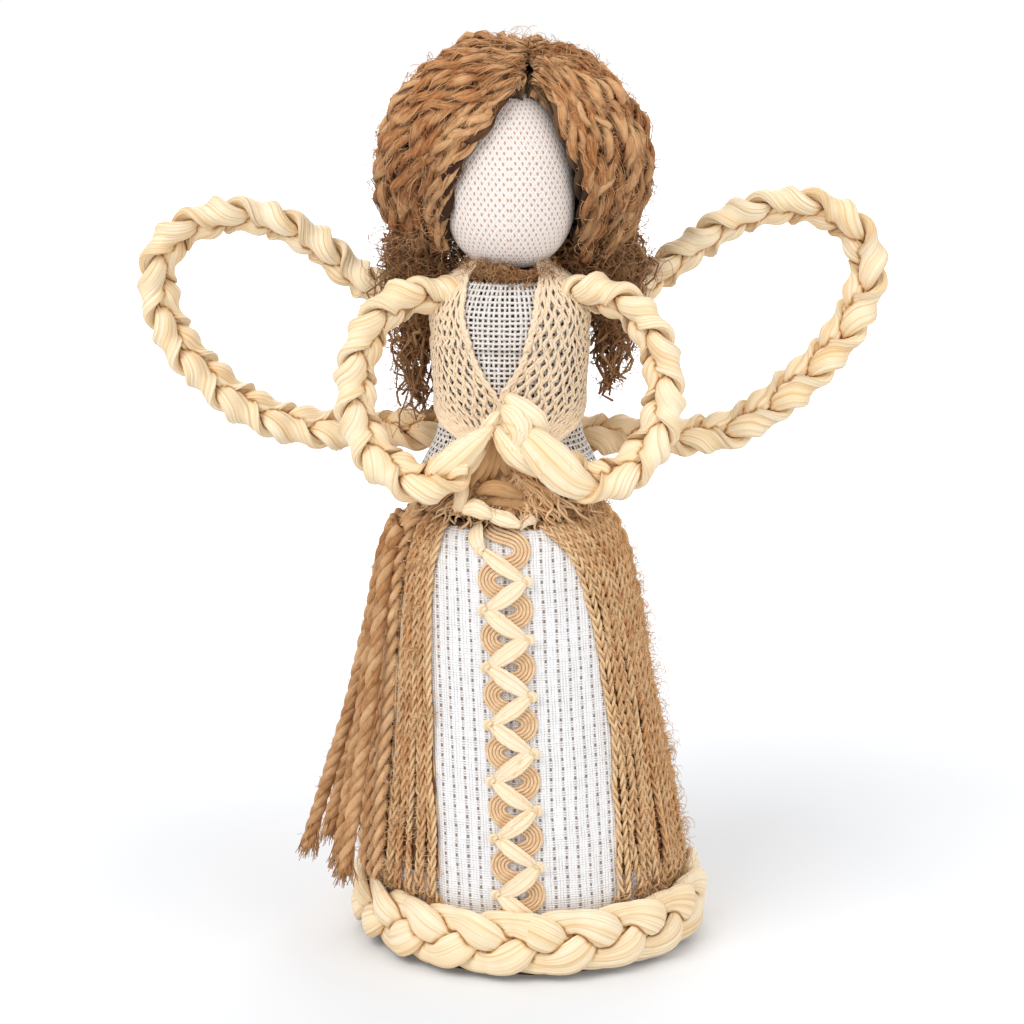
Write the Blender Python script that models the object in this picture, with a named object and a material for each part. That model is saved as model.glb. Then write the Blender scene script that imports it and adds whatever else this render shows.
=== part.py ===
import math

import bmesh
import bpy
from mathutils import Vector

# Overall sizes in metres, the floor is z = 0 and the doll faces -Y
gap = 0.0003
lean = 0.0053
waist_height = 0.119
skirt_radius = 0.0404

# Base, cone and stick
disc_thickness = 0.002
cone_wall = 0.0012
stick_radius = 0.003
stick_in_head = 0.021

# Braided hem
hem_width = 0.0200
hem_depth = 0.0094
hem_periods = 6

# Cloth, trim and overskirt on the cone
cloth_thickness = 0.0008
gimp_half_width = 0.0048
gimp_lobe = 0.0017
gimp_thickness = 0.0014
gimp_repeat = 0.0150
lacing_width = 0.0034
lacing_thickness = 0.0010
jute_thickness = 0.0020
jute_ridge = 0.0007
jute_bundle = 0.0044
jute_below_waist = 0.0030
hem_to_jute = 0.0036

# Cords
cord_diameter = 0.0044
cord_reach = 0.0140
band_cord = 0.0020
neck_cord = 0.0022

# Torso and its clothes
torso_height = 0.0652
torso_half_width = 0.0195
torso_half_depth = 0.0150
bodice_rise = 0.0081
bodice_height = 0.0470
lace_thickness = 0.0012
lace_height = 0.0402

# Head and hair
head_height = 0.0488
head_half_width = 0.0166
cover_thickness = 0.0007
hair_half_width = 0.0380
hair_half_depth = 0.0330
hair_crown = 0.0380
hair_edge = 0.0050
tuft_width = 0.0135
tuft_depth = 0.0095

# Arms, hands and wings
arm_reach = 0.0404
arm_above_waist = 0.0118
arm_rise = 0.0478
arm_forward = 0.0270
arm_width = 0.0128
arm_depth = 0.0090
arm_repeat = 0.0375
hand_length = 0.0184
hand_width = 0.0088
hand_depth = 0.0056
wing_reach = 0.0985
wing_above_waist = 0.0156
wing_rise = 0.0620
wing_sweep = 0.0084
wing_width = 0.0128
wing_depth = 0.0092
wing_repeat = 0.0425

# Back strip and waist knot
strip_half_width = 0.0085
strip_thickness = 0.0012
knot_half_width = 0.0080
knot_half_depth = 0.0044
knot_half_height = 0.0040
tail_length = 0.0150
tail_width = 0.0062
tail_thickness = 0.0016

# Places that follow from the sizes
hem_radius = skirt_radius + gap + hem_depth * 0.537
cloth_foot = hem_width * 1.05 + gap * 4
jute_foot = hem_width * 1.05 + hem_to_jute
jute_top = waist_height - jute_below_waist
gimp_top = jute_top - gap * 2
torso_foot = waist_height + gap
torso_top = torso_foot + torso_height
bodice_foot = torso_foot + bodice_rise
bodice_top = bodice_foot + bodice_height
lace_top = bodice_top - gap
lace_foot = lace_top - lace_height
head_foot = torso_top + gap
stick_top = head_foot + stick_in_head
hair_centre_height = head_foot + head_height * 0.5
arm_foot = torso_foot + arm_above_waist
wrist_height = arm_foot + arm_rise * 0.165
hand_tip = wrist_height + hand_length
wing_foot = torso_foot + wing_above_waist
wing_root_depth = torso_half_depth + cloth_thickness + gap * 4 + wing_depth * 0.28
strip_foot = wing_foot - wing_width * 0.6
strip_top = wing_foot + wing_rise * 0.52 + wing_width * 0.75
knot_height = waist_height + gap + band_cord * 1.6

# Height share and radius share of the bell, from the floor to the waist
bell_shares = ((0.0, 1.0), (0.18, 1.0), (0.34, 0.945), (0.54, 0.862), (0.75, 0.785),
               (0.90, 0.705), (1.0, 0.585))

# Height share, width share and depth share of the torso, foot to neck
torso_shares = ((0.0, 1.08, 1.28), (0.07, 1.06, 1.24), (0.16, 0.95, 1.04), (0.30, 0.88, 0.94),
                (0.50, 0.95, 0.98), (0.70, 1.0, 1.0), (0.80, 0.90, 0.88), (0.85, 0.72, 0.70),
                (0.88, 0.42, 0.48), (1.0, 0.37, 0.44))

# Height share and radius share of the egg-shaped head, chin to crown
head_shares = ((0.0, 0.36), (0.04, 0.55), (0.12, 0.79), (0.24, 0.955), (0.38, 1.0),
               (0.54, 0.97), (0.70, 0.86), (0.84, 0.66), (0.94, 0.40), (1.0, 0.0))

# Across, forward and height shares of the arm's middle line, shoulder to wrist
arm_shares = ((0.435, 0.20, 1.0), (0.70, 0.34, 0.96), (0.90, 0.48, 0.82), (1.0, 0.60, 0.58),
              (0.98, 0.72, 0.31), (0.83, 0.84, 0.10), (0.56, 0.95, 0.0), (0.27, 1.0, 0.12))

# Height, distance out, width and depth shares of the hand, wrist to tip
hand_shares = ((0.0, 0.54, 0.66, 0.80), (0.2, 0.24, 0.94, 1.0), (0.45, 0.05, 1.0, 0.95),
               (0.75, 0.0, 0.66, 0.75), (1.0, 0.0, 0.20, 0.25))

# Across and height shares of each wing's middle line, upper root round to lower root
left_wing_shares = ((0.02, 0.52), (0.20, 0.56), (0.41, 0.68), (0.535, 0.84), (0.665, 0.95),
                    (0.80, 0.97), (0.93, 0.89), (0.985, 0.75), (0.985, 0.59), (0.94, 0.41),
                    (0.86, 0.26), (0.77, 0.135), (0.62, 0.035), (0.48, 0.01), (0.25, 0.02),
                    (0.02, 0.05))
right_wing_shares = ((0.02, 0.52), (0.20, 0.56), (0.37, 0.67), (0.505, 0.825), (0.645, 0.97),
                     (0.81, 1.02), (0.95, 0.93), (1.005, 0.73), (0.945, 0.46), (0.82, 0.23),
                     (0.68, 0.05), (0.54, -0.02), (0.25, 0.0), (0.02, 0.05))

# Braid shares of its width or depth: swing, strand width, lift and strand thickness
swing_share = 0.338
strand_width_share = 0.358
lift_share = 0.325
strand_depth_share = 0.35

# Left and right edges of each jute panel: height share and degrees round the skirt
right_panel_shares = (((0.0, 36), (0.35, 37), (0.65, 35), (0.9, 24), (1.0, 19)),
                      ((0.0, 98), (1.0, 98)))
left_panel_shares = (((0.0, -60), (0.4, -62), (0.8, -66), (1.0, -68)),
                     ((0.0, -32), (0.3, -36), (0.6, -40), (0.85, -41), (1.0, -36)))
back_panel_shares = (((0.0, 99), (1.0, 99.5)), ((0.0, 299), (1.0, 290)))

# Place round the back panel of the yarn that each loose cord follows, its share of the reach
# out at its end, and the share of that reach and of the waist height along its way down
cord_yarn_shares = {"loose_cord_1": 0.86, "loose_cord_2": 0.922, "loose_cord_3": 0.985,
                    "loose_cord_4": 0.797, "loose_cord_5": 0.735}
cord_drop_shares = ((0.0, 0.972), (0.0, 0.90), (0.08, 0.75), (0.34, 0.54), (0.70, 0.34),
                    (1.0, 0.19))
cord_reach_shares = {"loose_cord_1": 1.0, "loose_cord_2": 0.42, "loose_cord_3": 0.56,
                     "loose_cord_4": 0.72, "loose_cord_5": 0.36}

colours = {
    "husk": ((0.72, 0.56, 0.33), 0.55),
    "jute": ((0.42, 0.26, 0.13), 0.9),
    "hair_jute": ((0.30, 0.17, 0.08), 0.9),
    "white_cloth": ((0.82, 0.80, 0.77), 0.9),
    "lace": ((0.76, 0.64, 0.46), 0.9),
    "gimp": ((0.55, 0.37, 0.19), 0.85),
    "raffia": ((0.80, 0.68, 0.48), 0.6),
    "knit": ((0.80, 0.68, 0.58), 0.9),
    "card": ((0.23, 0.13, 0.07), 0.85),
    "wood": ((0.55, 0.38, 0.22), 0.6),
    "stuffing": ((0.70, 0.60, 0.48), 0.95),
}


def clear_scene():
    for thing in list(bpy.data.objects):
        bpy.data.objects.remove(thing, do_unlink=True)


def material_for(name, colour_key):
    colour, roughness = colours[colour_key]
    material = bpy.data.materials.new(name)
    material.use_nodes = True
    shader = material.node_tree.nodes["Principled BSDF"]
    shader.inputs["Base Color"].default_value = (*colour, 1.0)
    shader.inputs["Roughness"].default_value = roughness
    shader.inputs["Metallic"].default_value = 0.0
    return material


def finish(name, build, colour_key, smooth_degrees):
    bmesh.ops.recalc_face_normals(build, faces=build.faces)
    mesh = bpy.data.meshes.new(name)
    build.to_mesh(mesh)
    build.free()
    mesh.shade_smooth()
    mesh.set_sharp_from_angle(angle=math.radians(smooth_degrees))
    mesh.materials.append(material_for(name, colour_key))
    piece = bpy.data.objects.new(name, mesh)
    bpy.context.scene.collection.objects.link(piece)
    return piece


def loft(name, rings, colour_key, closed=False, smooth_degrees=55):
    build = bmesh.new()
    rows = [[build.verts.new(point) for point in ring] for ring in rings]
    count = len(rows[0])
    pairs = list(zip(rows, rows[1:]))
    if closed:
        pairs.append((rows[-1], rows[0]))
    for near, far in pairs:
        for i in range(count):
            j = (i + 1) % count
            build.faces.new((near[i], near[j], far[j], far[i]))
    if not closed:
        build.faces.new(rows[0])
        build.faces.new(rows[-1])
    return finish(name, build, colour_key, smooth_degrees)


def slab(name, outer, inner, colour_key, smooth_degrees=45):
    # A curved sheet with thickness: two matching grids of points and the walls round their edges
    build = bmesh.new()
    top = [[build.verts.new(point) for point in row] for row in outer]
    low = [[build.verts.new(point) for point in row] for row in inner]
    last_row, last_column = len(top) - 1, len(top[0]) - 1
    for i in range(last_row):
        for j in range(last_column):
            build.faces.new((top[i][j], top[i][j + 1], top[i + 1][j + 1], top[i + 1][j]))
            build.faces.new((low[i][j], low[i + 1][j], low[i + 1][j + 1], low[i][j + 1]))
    for i in range(last_row):
        for j in (0, last_column):
            build.faces.new((top[i][j], top[i + 1][j], low[i + 1][j], low[i][j]))
    for j in range(last_column):
        for i in (0, last_row):
            build.faces.new((top[i][j], top[i][j + 1], low[i][j + 1], low[i][j]))
    return finish(name, build, colour_key, smooth_degrees)


def hollow_lathe(name, outer, inner, colour_key, smooth_degrees=45):
    # Rings of the outside from foot to top, then rings of the inside back down to the foot
    return loft(name, outer + inner[::-1], colour_key, closed=True, smooth_degrees=smooth_degrees)


def spline(points, where):
    # Smooth curve through points, where runs from zero to one less than their number
    last = len(points) - 1
    start = min(int(where), last - 1)
    t = where - start
    before = points[start - 1] if start > 0 else points[0] * 2 - points[1]
    after = points[start + 2] if start + 2 <= last else points[last] * 2 - points[last - 1]
    here, there = points[start], points[start + 1]
    slope_here, slope_there = (there - before) / 2, (after - here) / 2
    return (here * (2 * t ** 3 - 3 * t ** 2 + 1) + slope_here * (t ** 3 - 2 * t ** 2 + t)
            + there * (3 * t ** 2 - 2 * t ** 3) + slope_there * (t ** 3 - t ** 2))


def even_path(points, count):
    # Points of equal spacing along the smooth curve
    fine = [spline(points, (len(points) - 1) * i / 400) for i in range(401)]
    run = [0.0]
    for a, b in zip(fine, fine[1:]):
        run.append(run[-1] + (b - a).length)
    path, at = [], 0
    for i in range(count + 1):
        goal = run[-1] * i / count
        while at < 399 and run[at + 1] < goal:
            at += 1
        step = run[at + 1] - run[at]
        path.append(fine[at].lerp(fine[at + 1], (goal - run[at]) / step if step else 0.0))
    return path, run[-1]


def section(centre, across, through, half_width, half_depth, sides, turn=0.0):
    return [centre + across * (half_width * math.cos(turn + 2 * math.pi * k / sides))
            + through * (half_depth * math.sin(turn + 2 * math.pi * k / sides))
            for k in range(sides)]


def table_value(table, where, column):
    for low, high in zip(table, table[1:]):
        if where <= high[0]:
            share = (where - low[0]) / (high[0] - low[0])
            return low[column] + (high[column] - low[column]) * share
    return table[-1][column]


def bell_radius(height):
    return skirt_radius * table_value(bell_shares, height / waist_height, 1)


def skirt_rows(foot, top):
    # Heights shared by every layer of the skirt, so that no layer cuts through another
    inside = [waist_height * share for share, _ in bell_shares]
    return [foot] + [height for height in inside if foot + gap < height < top - gap] + [top]


def torso_rows(foot, top):
    inside = [torso_foot + (torso_top - torso_foot) * row[0] for row in torso_shares]
    return [foot] + [height for height in inside if foot + gap < height < top - gap] + [top]


def skirt_point(degrees, height, lift):
    radius = bell_radius(height) + lift
    angle = math.radians(degrees)
    return Vector((radius * math.sin(angle) - lean * height / waist_height,
                   -radius * math.cos(angle), height))


def torso_point(degrees, height, lift):
    where = (height - torso_foot) / (torso_top - torso_foot)
    half_width = torso_half_width * table_value(torso_shares, where, 1) + lift
    half_depth = torso_half_depth * table_value(torso_shares, where, 2) + lift
    angle = math.radians(degrees)
    return Vector((half_width * math.sin(angle) - lean, -half_depth * math.cos(angle), height))


def bodice_point(degrees, height, lift):
    # The cloth follows the torso and flares out at its free lower edge
    flare = max(0.0, 1 - (height - bodice_foot) / (torso_half_depth * 0.7)) ** 1.5
    front = min(1.0, 1 + math.cos(math.radians(degrees)))
    return torso_point(degrees, height, lift + gap + torso_half_depth * 0.30 * flare * front)


def make_base_disc():
    radius = skirt_radius - cone_wall - gap
    rings = [[Vector((radius * math.sin(a), -radius * math.cos(a), height))
              for a in (math.radians(15 * k) for k in range(24))]
             for height in (0.0, disc_thickness)]
    loft("base_disc", rings, "card", smooth_degrees=30)


def make_skirt_cone():
    heights = [waist_height * share for share, _ in bell_shares]
    outer = [[skirt_point(15 * k, height, 0.0) for k in range(24)] for height in heights]
    inner = [[skirt_point(15 * k, height, -cone_wall) for k in range(24)] for height in heights]
    hollow_lathe("skirt_cone", outer, inner, "card")


def make_body_stick():
    foot = disc_thickness + gap
    rings = [section(Vector((-lean, 0.0, height)), Vector((1, 0, 0)), Vector((0, 1, 0)),
                     stick_radius, stick_radius, 12) for height in (foot, stick_top)]
    loft("body_stick", rings, "wood", smooth_degrees=40)


def make_torso():
    heights = [torso_foot + (torso_top - torso_foot) * row[0] for row in torso_shares]
    outer = [[torso_point(18 * k, height, 0.0) for k in range(20)] for height in heights]
    bore = stick_radius + gap
    inner = [[Vector((bore * math.sin(a) - lean, -bore * math.cos(a), height))
              for a in (math.radians(18 * k) for k in range(20))]
             for height in (heights[0], heights[-1])]
    hollow_lathe("torso", outer, inner, "stuffing")


def make_head():
    def ring(share, radius_share, lift):
        radius = head_half_width * radius_share + lift
        centre = Vector((-lean, 0.0, head_foot + head_height * share))
        return section(centre, Vector((1, 0, 0)), Vector((0, 1, 0)), radius, radius, 18)

    bore = stick_radius + gap
    top = stick_top + gap
    outer = [ring(share, radius_share, 0.0) for share, radius_share in head_shares[:-1]]
    foot = [Vector((-lean, 0.0, height)) for height in (top, head_foot)]
    pocket = [section(centre, Vector((1, 0, 0)), Vector((0, 1, 0)), bore, bore, 18)
              for centre in foot]
    loft("head_ball", pocket + outer, "stuffing")

    low = [ring(share, radius_share, gap) for share, radius_share in head_shares[:-1]]
    high = [ring(share, radius_share, gap + cover_thickness)
            for share, radius_share in head_shares[:-1]]
    crown = [[point + Vector((0, 0, gap + cover_thickness)) for point in high[-1]]]
    ceiling = [[point + Vector((0, 0, gap)) for point in low[-1]]]
    loft("head_cover", ceiling + low[::-1] + high + crown, "knit")


def coil(name, foot, half_width, half_depth, cord, turns, sides, colour_key, around):
    rise = cord * 1.08
    rings = []
    count = turns * around
    for i in range(count + 1):
        angle = 2 * math.pi * i / around
        height = foot + cord / 2 + rise * i / around
        out = Vector((math.sin(angle), -math.cos(angle), 0))
        centre = Vector((half_width * math.sin(angle) - lean, -half_depth * math.cos(angle), height))
        rings.append(section(centre, out, Vector((0, 0, 1)), cord / 2, cord / 2, sides))
    loft(name, rings, colour_key, smooth_degrees=80)


def make_bindings():
    coil("neck_binding", torso_top - neck_cord * 3.2, torso_half_width * 0.42 + gap + neck_cord / 2,
         torso_half_depth * 0.48 + gap + neck_cord / 2, neck_cord, 2, 6, "jute", 14)
    reach = band_cord / 2 + gap * 1.5
    coil("waist_band", waist_height + gap, torso_half_width * 1.085 + reach,
         torso_half_depth * 1.285 + reach, band_cord, 2, 6, "jute", 20)


def make_bodice():
    heights = torso_rows(bodice_foot, lace_foot)[:-1] + torso_rows(lace_foot, bodice_top)
    outer = [[bodice_point(18 * k, height, cloth_thickness) for k in range(20)]
             for height in heights]
    inner = [[bodice_point(18 * k, height, 0.0) for k in range(20)] for height in heights]
    hollow_lathe("bodice_cloth", outer, inner, "white_cloth")


def make_lace(side, name):
    # From the V at the waist up over the chest, wrapped round to the side of the body
    edge_shares = ((0.0, 4), (0.2, 8), (0.45, 18), (0.75, 27), (1.0, 36))
    outer, inner = [], []
    for height in torso_rows(lace_foot, lace_top):
        share = (height - lace_foot) / (lace_top - lace_foot)
        start = table_value(edge_shares, share, 1)
        degrees = [side * (start + (104 - start) * k / 7) for k in range(8)]
        outer.append([bodice_point(d, height, cloth_thickness + gap + lace_thickness)
                      for d in degrees])
        inner.append([bodice_point(d, height, cloth_thickness + gap) for d in degrees])
    slab(name, outer, inner, "lace")


def make_skirt_cloth():
    heights = skirt_rows(cloth_foot, jute_top)
    degrees = [-75 + 7.5 * k for k in range(21)]
    outer = [[skirt_point(d, height, gap + cloth_thickness) for d in degrees]
             for height in heights]
    inner = [[skirt_point(d, height, gap) for d in degrees] for height in heights]
    slab("skirt_cloth", outer, inner, "white_cloth")


def trim_point(across, height, lift):
    # Across is a length along the surface, left or right of the trim's own middle line
    degrees = math.degrees((across - lean * 0.35) / bell_radius(height))
    return skirt_point(degrees, height, lift)


def make_gimp():
    base = cloth_thickness + gap * 2
    rows = round((gimp_top - cloth_foot) / gimp_repeat * 8)
    outer, inner = [], []
    for i in range(rows + 1):
        height = gimp_top - (gimp_top - cloth_foot) * i / rows
        wave = math.sin(2 * math.pi * (gimp_top - height) / gimp_repeat)
        left = -gimp_half_width - gimp_lobe * max(0.0, wave)
        right = gimp_half_width + gimp_lobe * max(0.0, -wave)
        across = [left, left * 0.5 + right * 0.5, right]
        outer.append([trim_point(a, height, base + gimp_thickness) for a in across])
        inner.append([trim_point(a, height, base) for a in across])
    slab("trim_gimp", outer, inner, "gimp")


def make_lacing():
    base = cloth_thickness + gimp_thickness + gap * 3
    rows = round((gimp_top - cloth_foot) / gimp_repeat * 6)
    middles = []
    for i in range(rows + 1):
        height = gimp_top - (gimp_top - cloth_foot) * i / rows
        phase = (gimp_top - height) / gimp_repeat - 0.15
        wave = 4 * abs(phase - math.floor(phase + 0.5)) - 1
        middles.append((gimp_half_width * 0.95 * wave, height))
    rings = []
    for i, (across, height) in enumerate(middles):
        before, after = middles[max(i - 1, 0)], middles[min(i + 1, rows)]
        run, drop = after[0] - before[0], after[1] - before[1]
        size = math.hypot(run, drop)
        side_x, side_z = -drop / size * lacing_width / 2, run / size * lacing_width / 2
        corners = []
        for sign, lift in ((-1, 0), (1, 0), (1, 1), (-1, 1)):
            level = min(max(height + sign * side_z, cloth_foot), gimp_top + gap)
            corners.append(trim_point(across + sign * side_x, level, base + lift * lacing_thickness))
        rings.append(corners)
    loft("trim_lacing", rings, "raffia", smooth_degrees=30)


def panel_degrees(start_shares, end_shares, height):
    # Edges of a panel at this height, and the number of steps across it, two to a yarn
    share = (height - jute_foot) / (jute_top - jute_foot)
    span = math.radians(end_shares[0][1] - start_shares[0][1]) * skirt_radius
    steps = max(3, round(span / jute_bundle)) * 2
    start, end = table_value(start_shares, share, 1), table_value(end_shares, share, 1)
    return [start + (end - start) * k / steps for k in range(steps + 1)]


def make_panel(name, start_shares, end_shares):
    # Jute yarns lie side by side down the skirt and show as ridges
    base = cloth_thickness + gap * 2
    outer, inner = [], []
    for height in skirt_rows(jute_foot, jute_top):
        degrees = panel_degrees(start_shares, end_shares, height)
        outer.append([skirt_point(d, height, base + jute_thickness + jute_ridge * (k % 2))
                      for k, d in enumerate(degrees)])
        inner.append([skirt_point(d, height, base) for d in degrees])
    slab(name, outer, inner, "jute", smooth_degrees=80)


def make_overskirt():
    make_panel("overskirt_right", *right_panel_shares)
    make_panel("overskirt_left", *left_panel_shares)
    make_panel("overskirt_back", *back_panel_shares)


def make_loose_cord(name, yarn_share, reach_share):
    points = []
    for out_share, height_share in cord_drop_shares:
        height = waist_height * height_share
        across = panel_degrees(*back_panel_shares, max(height, jute_foot))
        degrees = across[int((len(across) - 1) / 2 * yarn_share) * 2 + 1]
        lift = (cloth_thickness + gap * 3 + jute_thickness + jute_ridge + cord_diameter / 2
                + cord_reach * reach_share * out_share)
        points.append(skirt_point(degrees, height, lift))
    path, length = even_path(points, 12)
    curve = bpy.data.curves.new(name, "CURVE")
    curve.dimensions = "3D"
    curve.bevel_depth = cord_diameter / 2
    curve.bevel_resolution = 2
    curve.use_fill_caps = True
    line = curve.splines.new("POLY")
    line.points.add(len(path) - 1)
    for spot, point in zip(line.points, path):
        spot.co = (*point, 1.0)
    curve.materials.append(material_for(name, "jute"))
    cord = bpy.data.objects.new(name, curve)
    bpy.context.scene.collection.objects.link(cord)


def strand(name, stations, width, depth, turns, index, closed):
    # One of three strands: it swings side to side and passes over and under the other two
    count = len(stations)
    spread = count if closed else count - 1
    middles = []
    for i, (centre, across, out) in enumerate(stations):
        theta = 2 * math.pi * (turns * i / spread + index / 3)
        middles.append(centre + across * (width * swing_share * math.sin(theta))
                       + out * (depth * lift_share * math.sin(2 * theta)))
    rings = []
    for i, (centre, across, out) in enumerate(stations):
        theta = 2 * math.pi * (turns * i / spread + index / 3)
        if closed:
            along = middles[(i + 1) % count] - middles[i - 1]
        else:
            along = middles[min(i + 1, count - 1)] - middles[max(i - 1, 0)]
        along.normalize()
        wide = (across - along * across.dot(along)).normalized()
        thick = along.cross(wide)
        half_depth = depth * strand_depth_share / 2 * (1 - 0.2 * math.cos(2 * theta))
        rings.append(section(middles[i], wide, thick, width * strand_width_share / 2, half_depth, 6))
    loft(name, rings, "husk", closed=closed, smooth_degrees=50)


def stations_along(points, facing, repeat, rings_per_repeat):
    path, length = even_path(points, 200)
    turns = length / repeat
    count = round(turns * rings_per_repeat)
    path, length = even_path(points, count)
    stations = []
    for i, point in enumerate(path):
        along = (path[min(i + 1, count)] - path[max(i - 1, 0)]).normalized()
        out = (facing - along * facing.dot(along)).normalized()
        stations.append((point, out.cross(along), out))
    return stations, turns


def make_hem():
    count = hem_periods * 8
    stations = []
    for i in range(count):
        angle = 2 * math.pi * i / count
        out = Vector((math.sin(angle), -math.cos(angle), 0))
        stations.append((out * hem_radius + Vector((0, 0, hem_width * 0.525)), Vector((0, 0, 1)), out))
    for index in range(3):
        strand("hem_strand_%d" % (index + 1), stations, hem_width, hem_depth, hem_periods, index, True)


def make_arm(side, name):
    points = [Vector((side * arm_reach * a - lean, -arm_forward * f, arm_foot + arm_rise * h))
              for a, f, h in arm_shares]
    stations, turns = stations_along(points, Vector((0, -1, 0)), arm_repeat, 8)
    for index in range(3):
        strand("%s_strand_%d" % (name, index + 1), stations, arm_width, arm_depth, turns, index, False)


def make_hand(side, name):
    # A folded leaf, wide at the palm and pointed at the tip, pressed against the other hand
    rings = []
    for rise, out, width_share, depth_share in hand_shares:
        half = hand_width * width_share / 2
        spot = Vector((side * (hand_width * out + half + gap) - lean, -arm_forward,
                       wrist_height + (hand_tip - wrist_height) * rise))
        wide = Vector((1, 0, -side * out)).normalized()
        rings.append(section(spot, wide, Vector((0, 1, 0)), half, hand_depth * depth_share / 2, 10))
    loft(name, rings, "husk", smooth_degrees=60)


def make_wing(side, name, shares):
    points = []
    for across, height in shares:
        sweep = wing_sweep * min(1.0, max(0.0, across / 0.3 - 0.4))
        points.append(Vector((side * wing_reach * across - lean, wing_root_depth + sweep,
                              wing_foot + wing_rise * height)))
    stations, turns = stations_along(points, Vector((0, -1, 0)), wing_repeat, 8)
    for index in range(3):
        strand("%s_strand_%d" % (name, index + 1), stations, wing_width, wing_depth, turns, index,
               False)


def make_back_strip():
    near = wing_root_depth + wing_depth * 0.51 + gap
    rings = []
    for i in range(6):
        height = strip_foot + (strip_top - strip_foot) * i / 5
        bow = 0.85 + 0.15 * math.sin(math.pi * i / 5)
        corners = []
        for x, y in ((-1, 0), (0, 0), (1, 0), (1, 1), (0, 1.4), (-1, 1)):
            corners.append(Vector((x * strip_half_width * bow - lean, near + y * strip_thickness,
                                   height)))
        rings.append(corners)
    loft("wing_strip", rings, "husk", smooth_degrees=40)


def make_knot():
    front = -(torso_half_depth * 1.285 + band_cord + gap * 2.6 + knot_half_depth)
    centre = Vector((-lean - knot_half_width * 0.4, front, knot_height))
    rings = []
    for i in range(7):
        turn = math.pi * (i + 0.5) / 7
        swell = math.sin(turn) * (1 + 0.12 * math.cos(6 * turn))
        spot = centre + Vector((-knot_half_width * math.cos(turn), 0, 0))
        rings.append(section(spot, Vector((0, 1, 0)), Vector((0, 0, 1)), knot_half_depth * swell,
                             knot_half_height * swell, 8))
    loft("waist_knot", rings, "husk", smooth_degrees=60)

    for side, name, drop in ((-1, "knot_tail_left", 0.25), (1, "knot_tail_right", 0.1)):
        start = centre + Vector((side * (knot_half_width + gap), 0, 0))
        rings = []
        for i, share in enumerate((0.35, 0.8, 1.0, 0.75, 0.2)):
            run = tail_length * i / 4
            spot = start + Vector((side * run, run * 0.10, -run * drop))
            rings.append(section(spot, Vector((0, 0.3, 1)).normalized(), Vector((0, 1, -0.3)).normalized(),
                                 tail_width * share / 2, tail_thickness * (0.5 + share / 2) / 2, 6))
        loft(name, rings, "husk", smooth_degrees=60)


def hair_direction(side, degrees, polar):
    angle, fall = math.radians(degrees), math.radians(polar)
    return Vector((side * math.sin(angle) * math.sin(fall), -math.cos(angle) * math.sin(fall),
                   math.cos(fall)))


def head_reach(direction, centre):
    # Distance from the hair's middle point to the outside of the head cover, found by halving
    near, far = 0.0, head_height
    for _ in range(30):
        middle = (near + far) / 2
        spot = centre + direction * middle
        share = (spot.z - head_foot) / head_height
        radius = 0.0
        if 0.0 < share < 1.0:
            radius = head_half_width * table_value(head_shares, share, 1)
        if math.hypot(spot.x + lean, spot.y) < radius and share < 0.94:
            near = middle
        else:
            far = middle
    return far + (cover_thickness + gap) * 2.1


def make_hair(side, name, fall_end):
    # Locks fall from the parting over the side of the head, thin at the face and full behind
    edge_shares = ((0.0, 0), (0.20, 4), (0.32, 22), (0.50, 44), (0.75, 56), (1.0, 60))
    fall_shares = ((0.0, 1.06), (0.3, 1.0), (1.0, 1.05))
    centre = Vector((-lean, 0.0, hair_centre_height))
    columns, rows, crown_degrees = 12, 9, 1.5
    outer, inner = [], []
    for i in range(rows + 1):
        share = i / rows
        start = table_value(edge_shares, share, 1)
        top, low = [], []
        for k in range(columns + 1):
            around = k / columns
            degrees = start + (179.4 - start) * around
            low_edge = table_value(fall_shares, around, 1) * fall_end
            polar = crown_degrees + (low_edge - crown_degrees) * share
            way = hair_direction(side, degrees, polar)
            floor = head_reach(way, centre) + gap
            full = 1 / math.sqrt((way.x / hair_half_width) ** 2 + (way.y / hair_half_depth) ** 2
                                 + (way.z / hair_crown) ** 2)
            rise = min(1.0, around / 0.28)
            rise = rise * rise * (3 - 2 * rise)
            crown = max(0.0, 1 - share / 0.35)
            thick = hair_edge + (full - floor - hair_edge) * max(rise, crown)
            lock = 1 + 0.05 * math.sin(around * math.pi * 11) * min(1.0, share * 3)
            shift = Vector((side * gap, 0, 0))
            top.append(centre + way * (floor + thick * lock) + shift)
            low.append(centre + way * floor + shift)
        outer.append(top)
        inner.append(low)
    slab(name, outer, inner, "hair_jute", smooth_degrees=60)


def make_tuft(side, name, spread_share, top_share, length_share):
    # The darker hair that hangs behind the shoulder
    top, foot = hair_centre_height - hair_crown * top_share, bodice_foot + arm_rise * length_share
    rings = []
    for i in range(7):
        share = i / 6
        spread = hair_half_width * (spread_share + 0.04 * math.sin(math.pi * share))
        centre = Vector((side * spread - lean, hair_half_depth * 0.30, top + (foot - top) * share))
        size = (0.80, 1.0, 1.02, 0.95, 0.80, 0.62, 0.34)[i]
        slope = Vector((1, 0, -side * 0.75 * (1 - share) ** 3))
        rings.append(section(centre, slope, Vector((0, 1, 0)), tuft_width / 2 * size,
                             tuft_depth / 2 * size, 10))
    loft(name, rings, "hair_jute", smooth_degrees=60)


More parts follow.
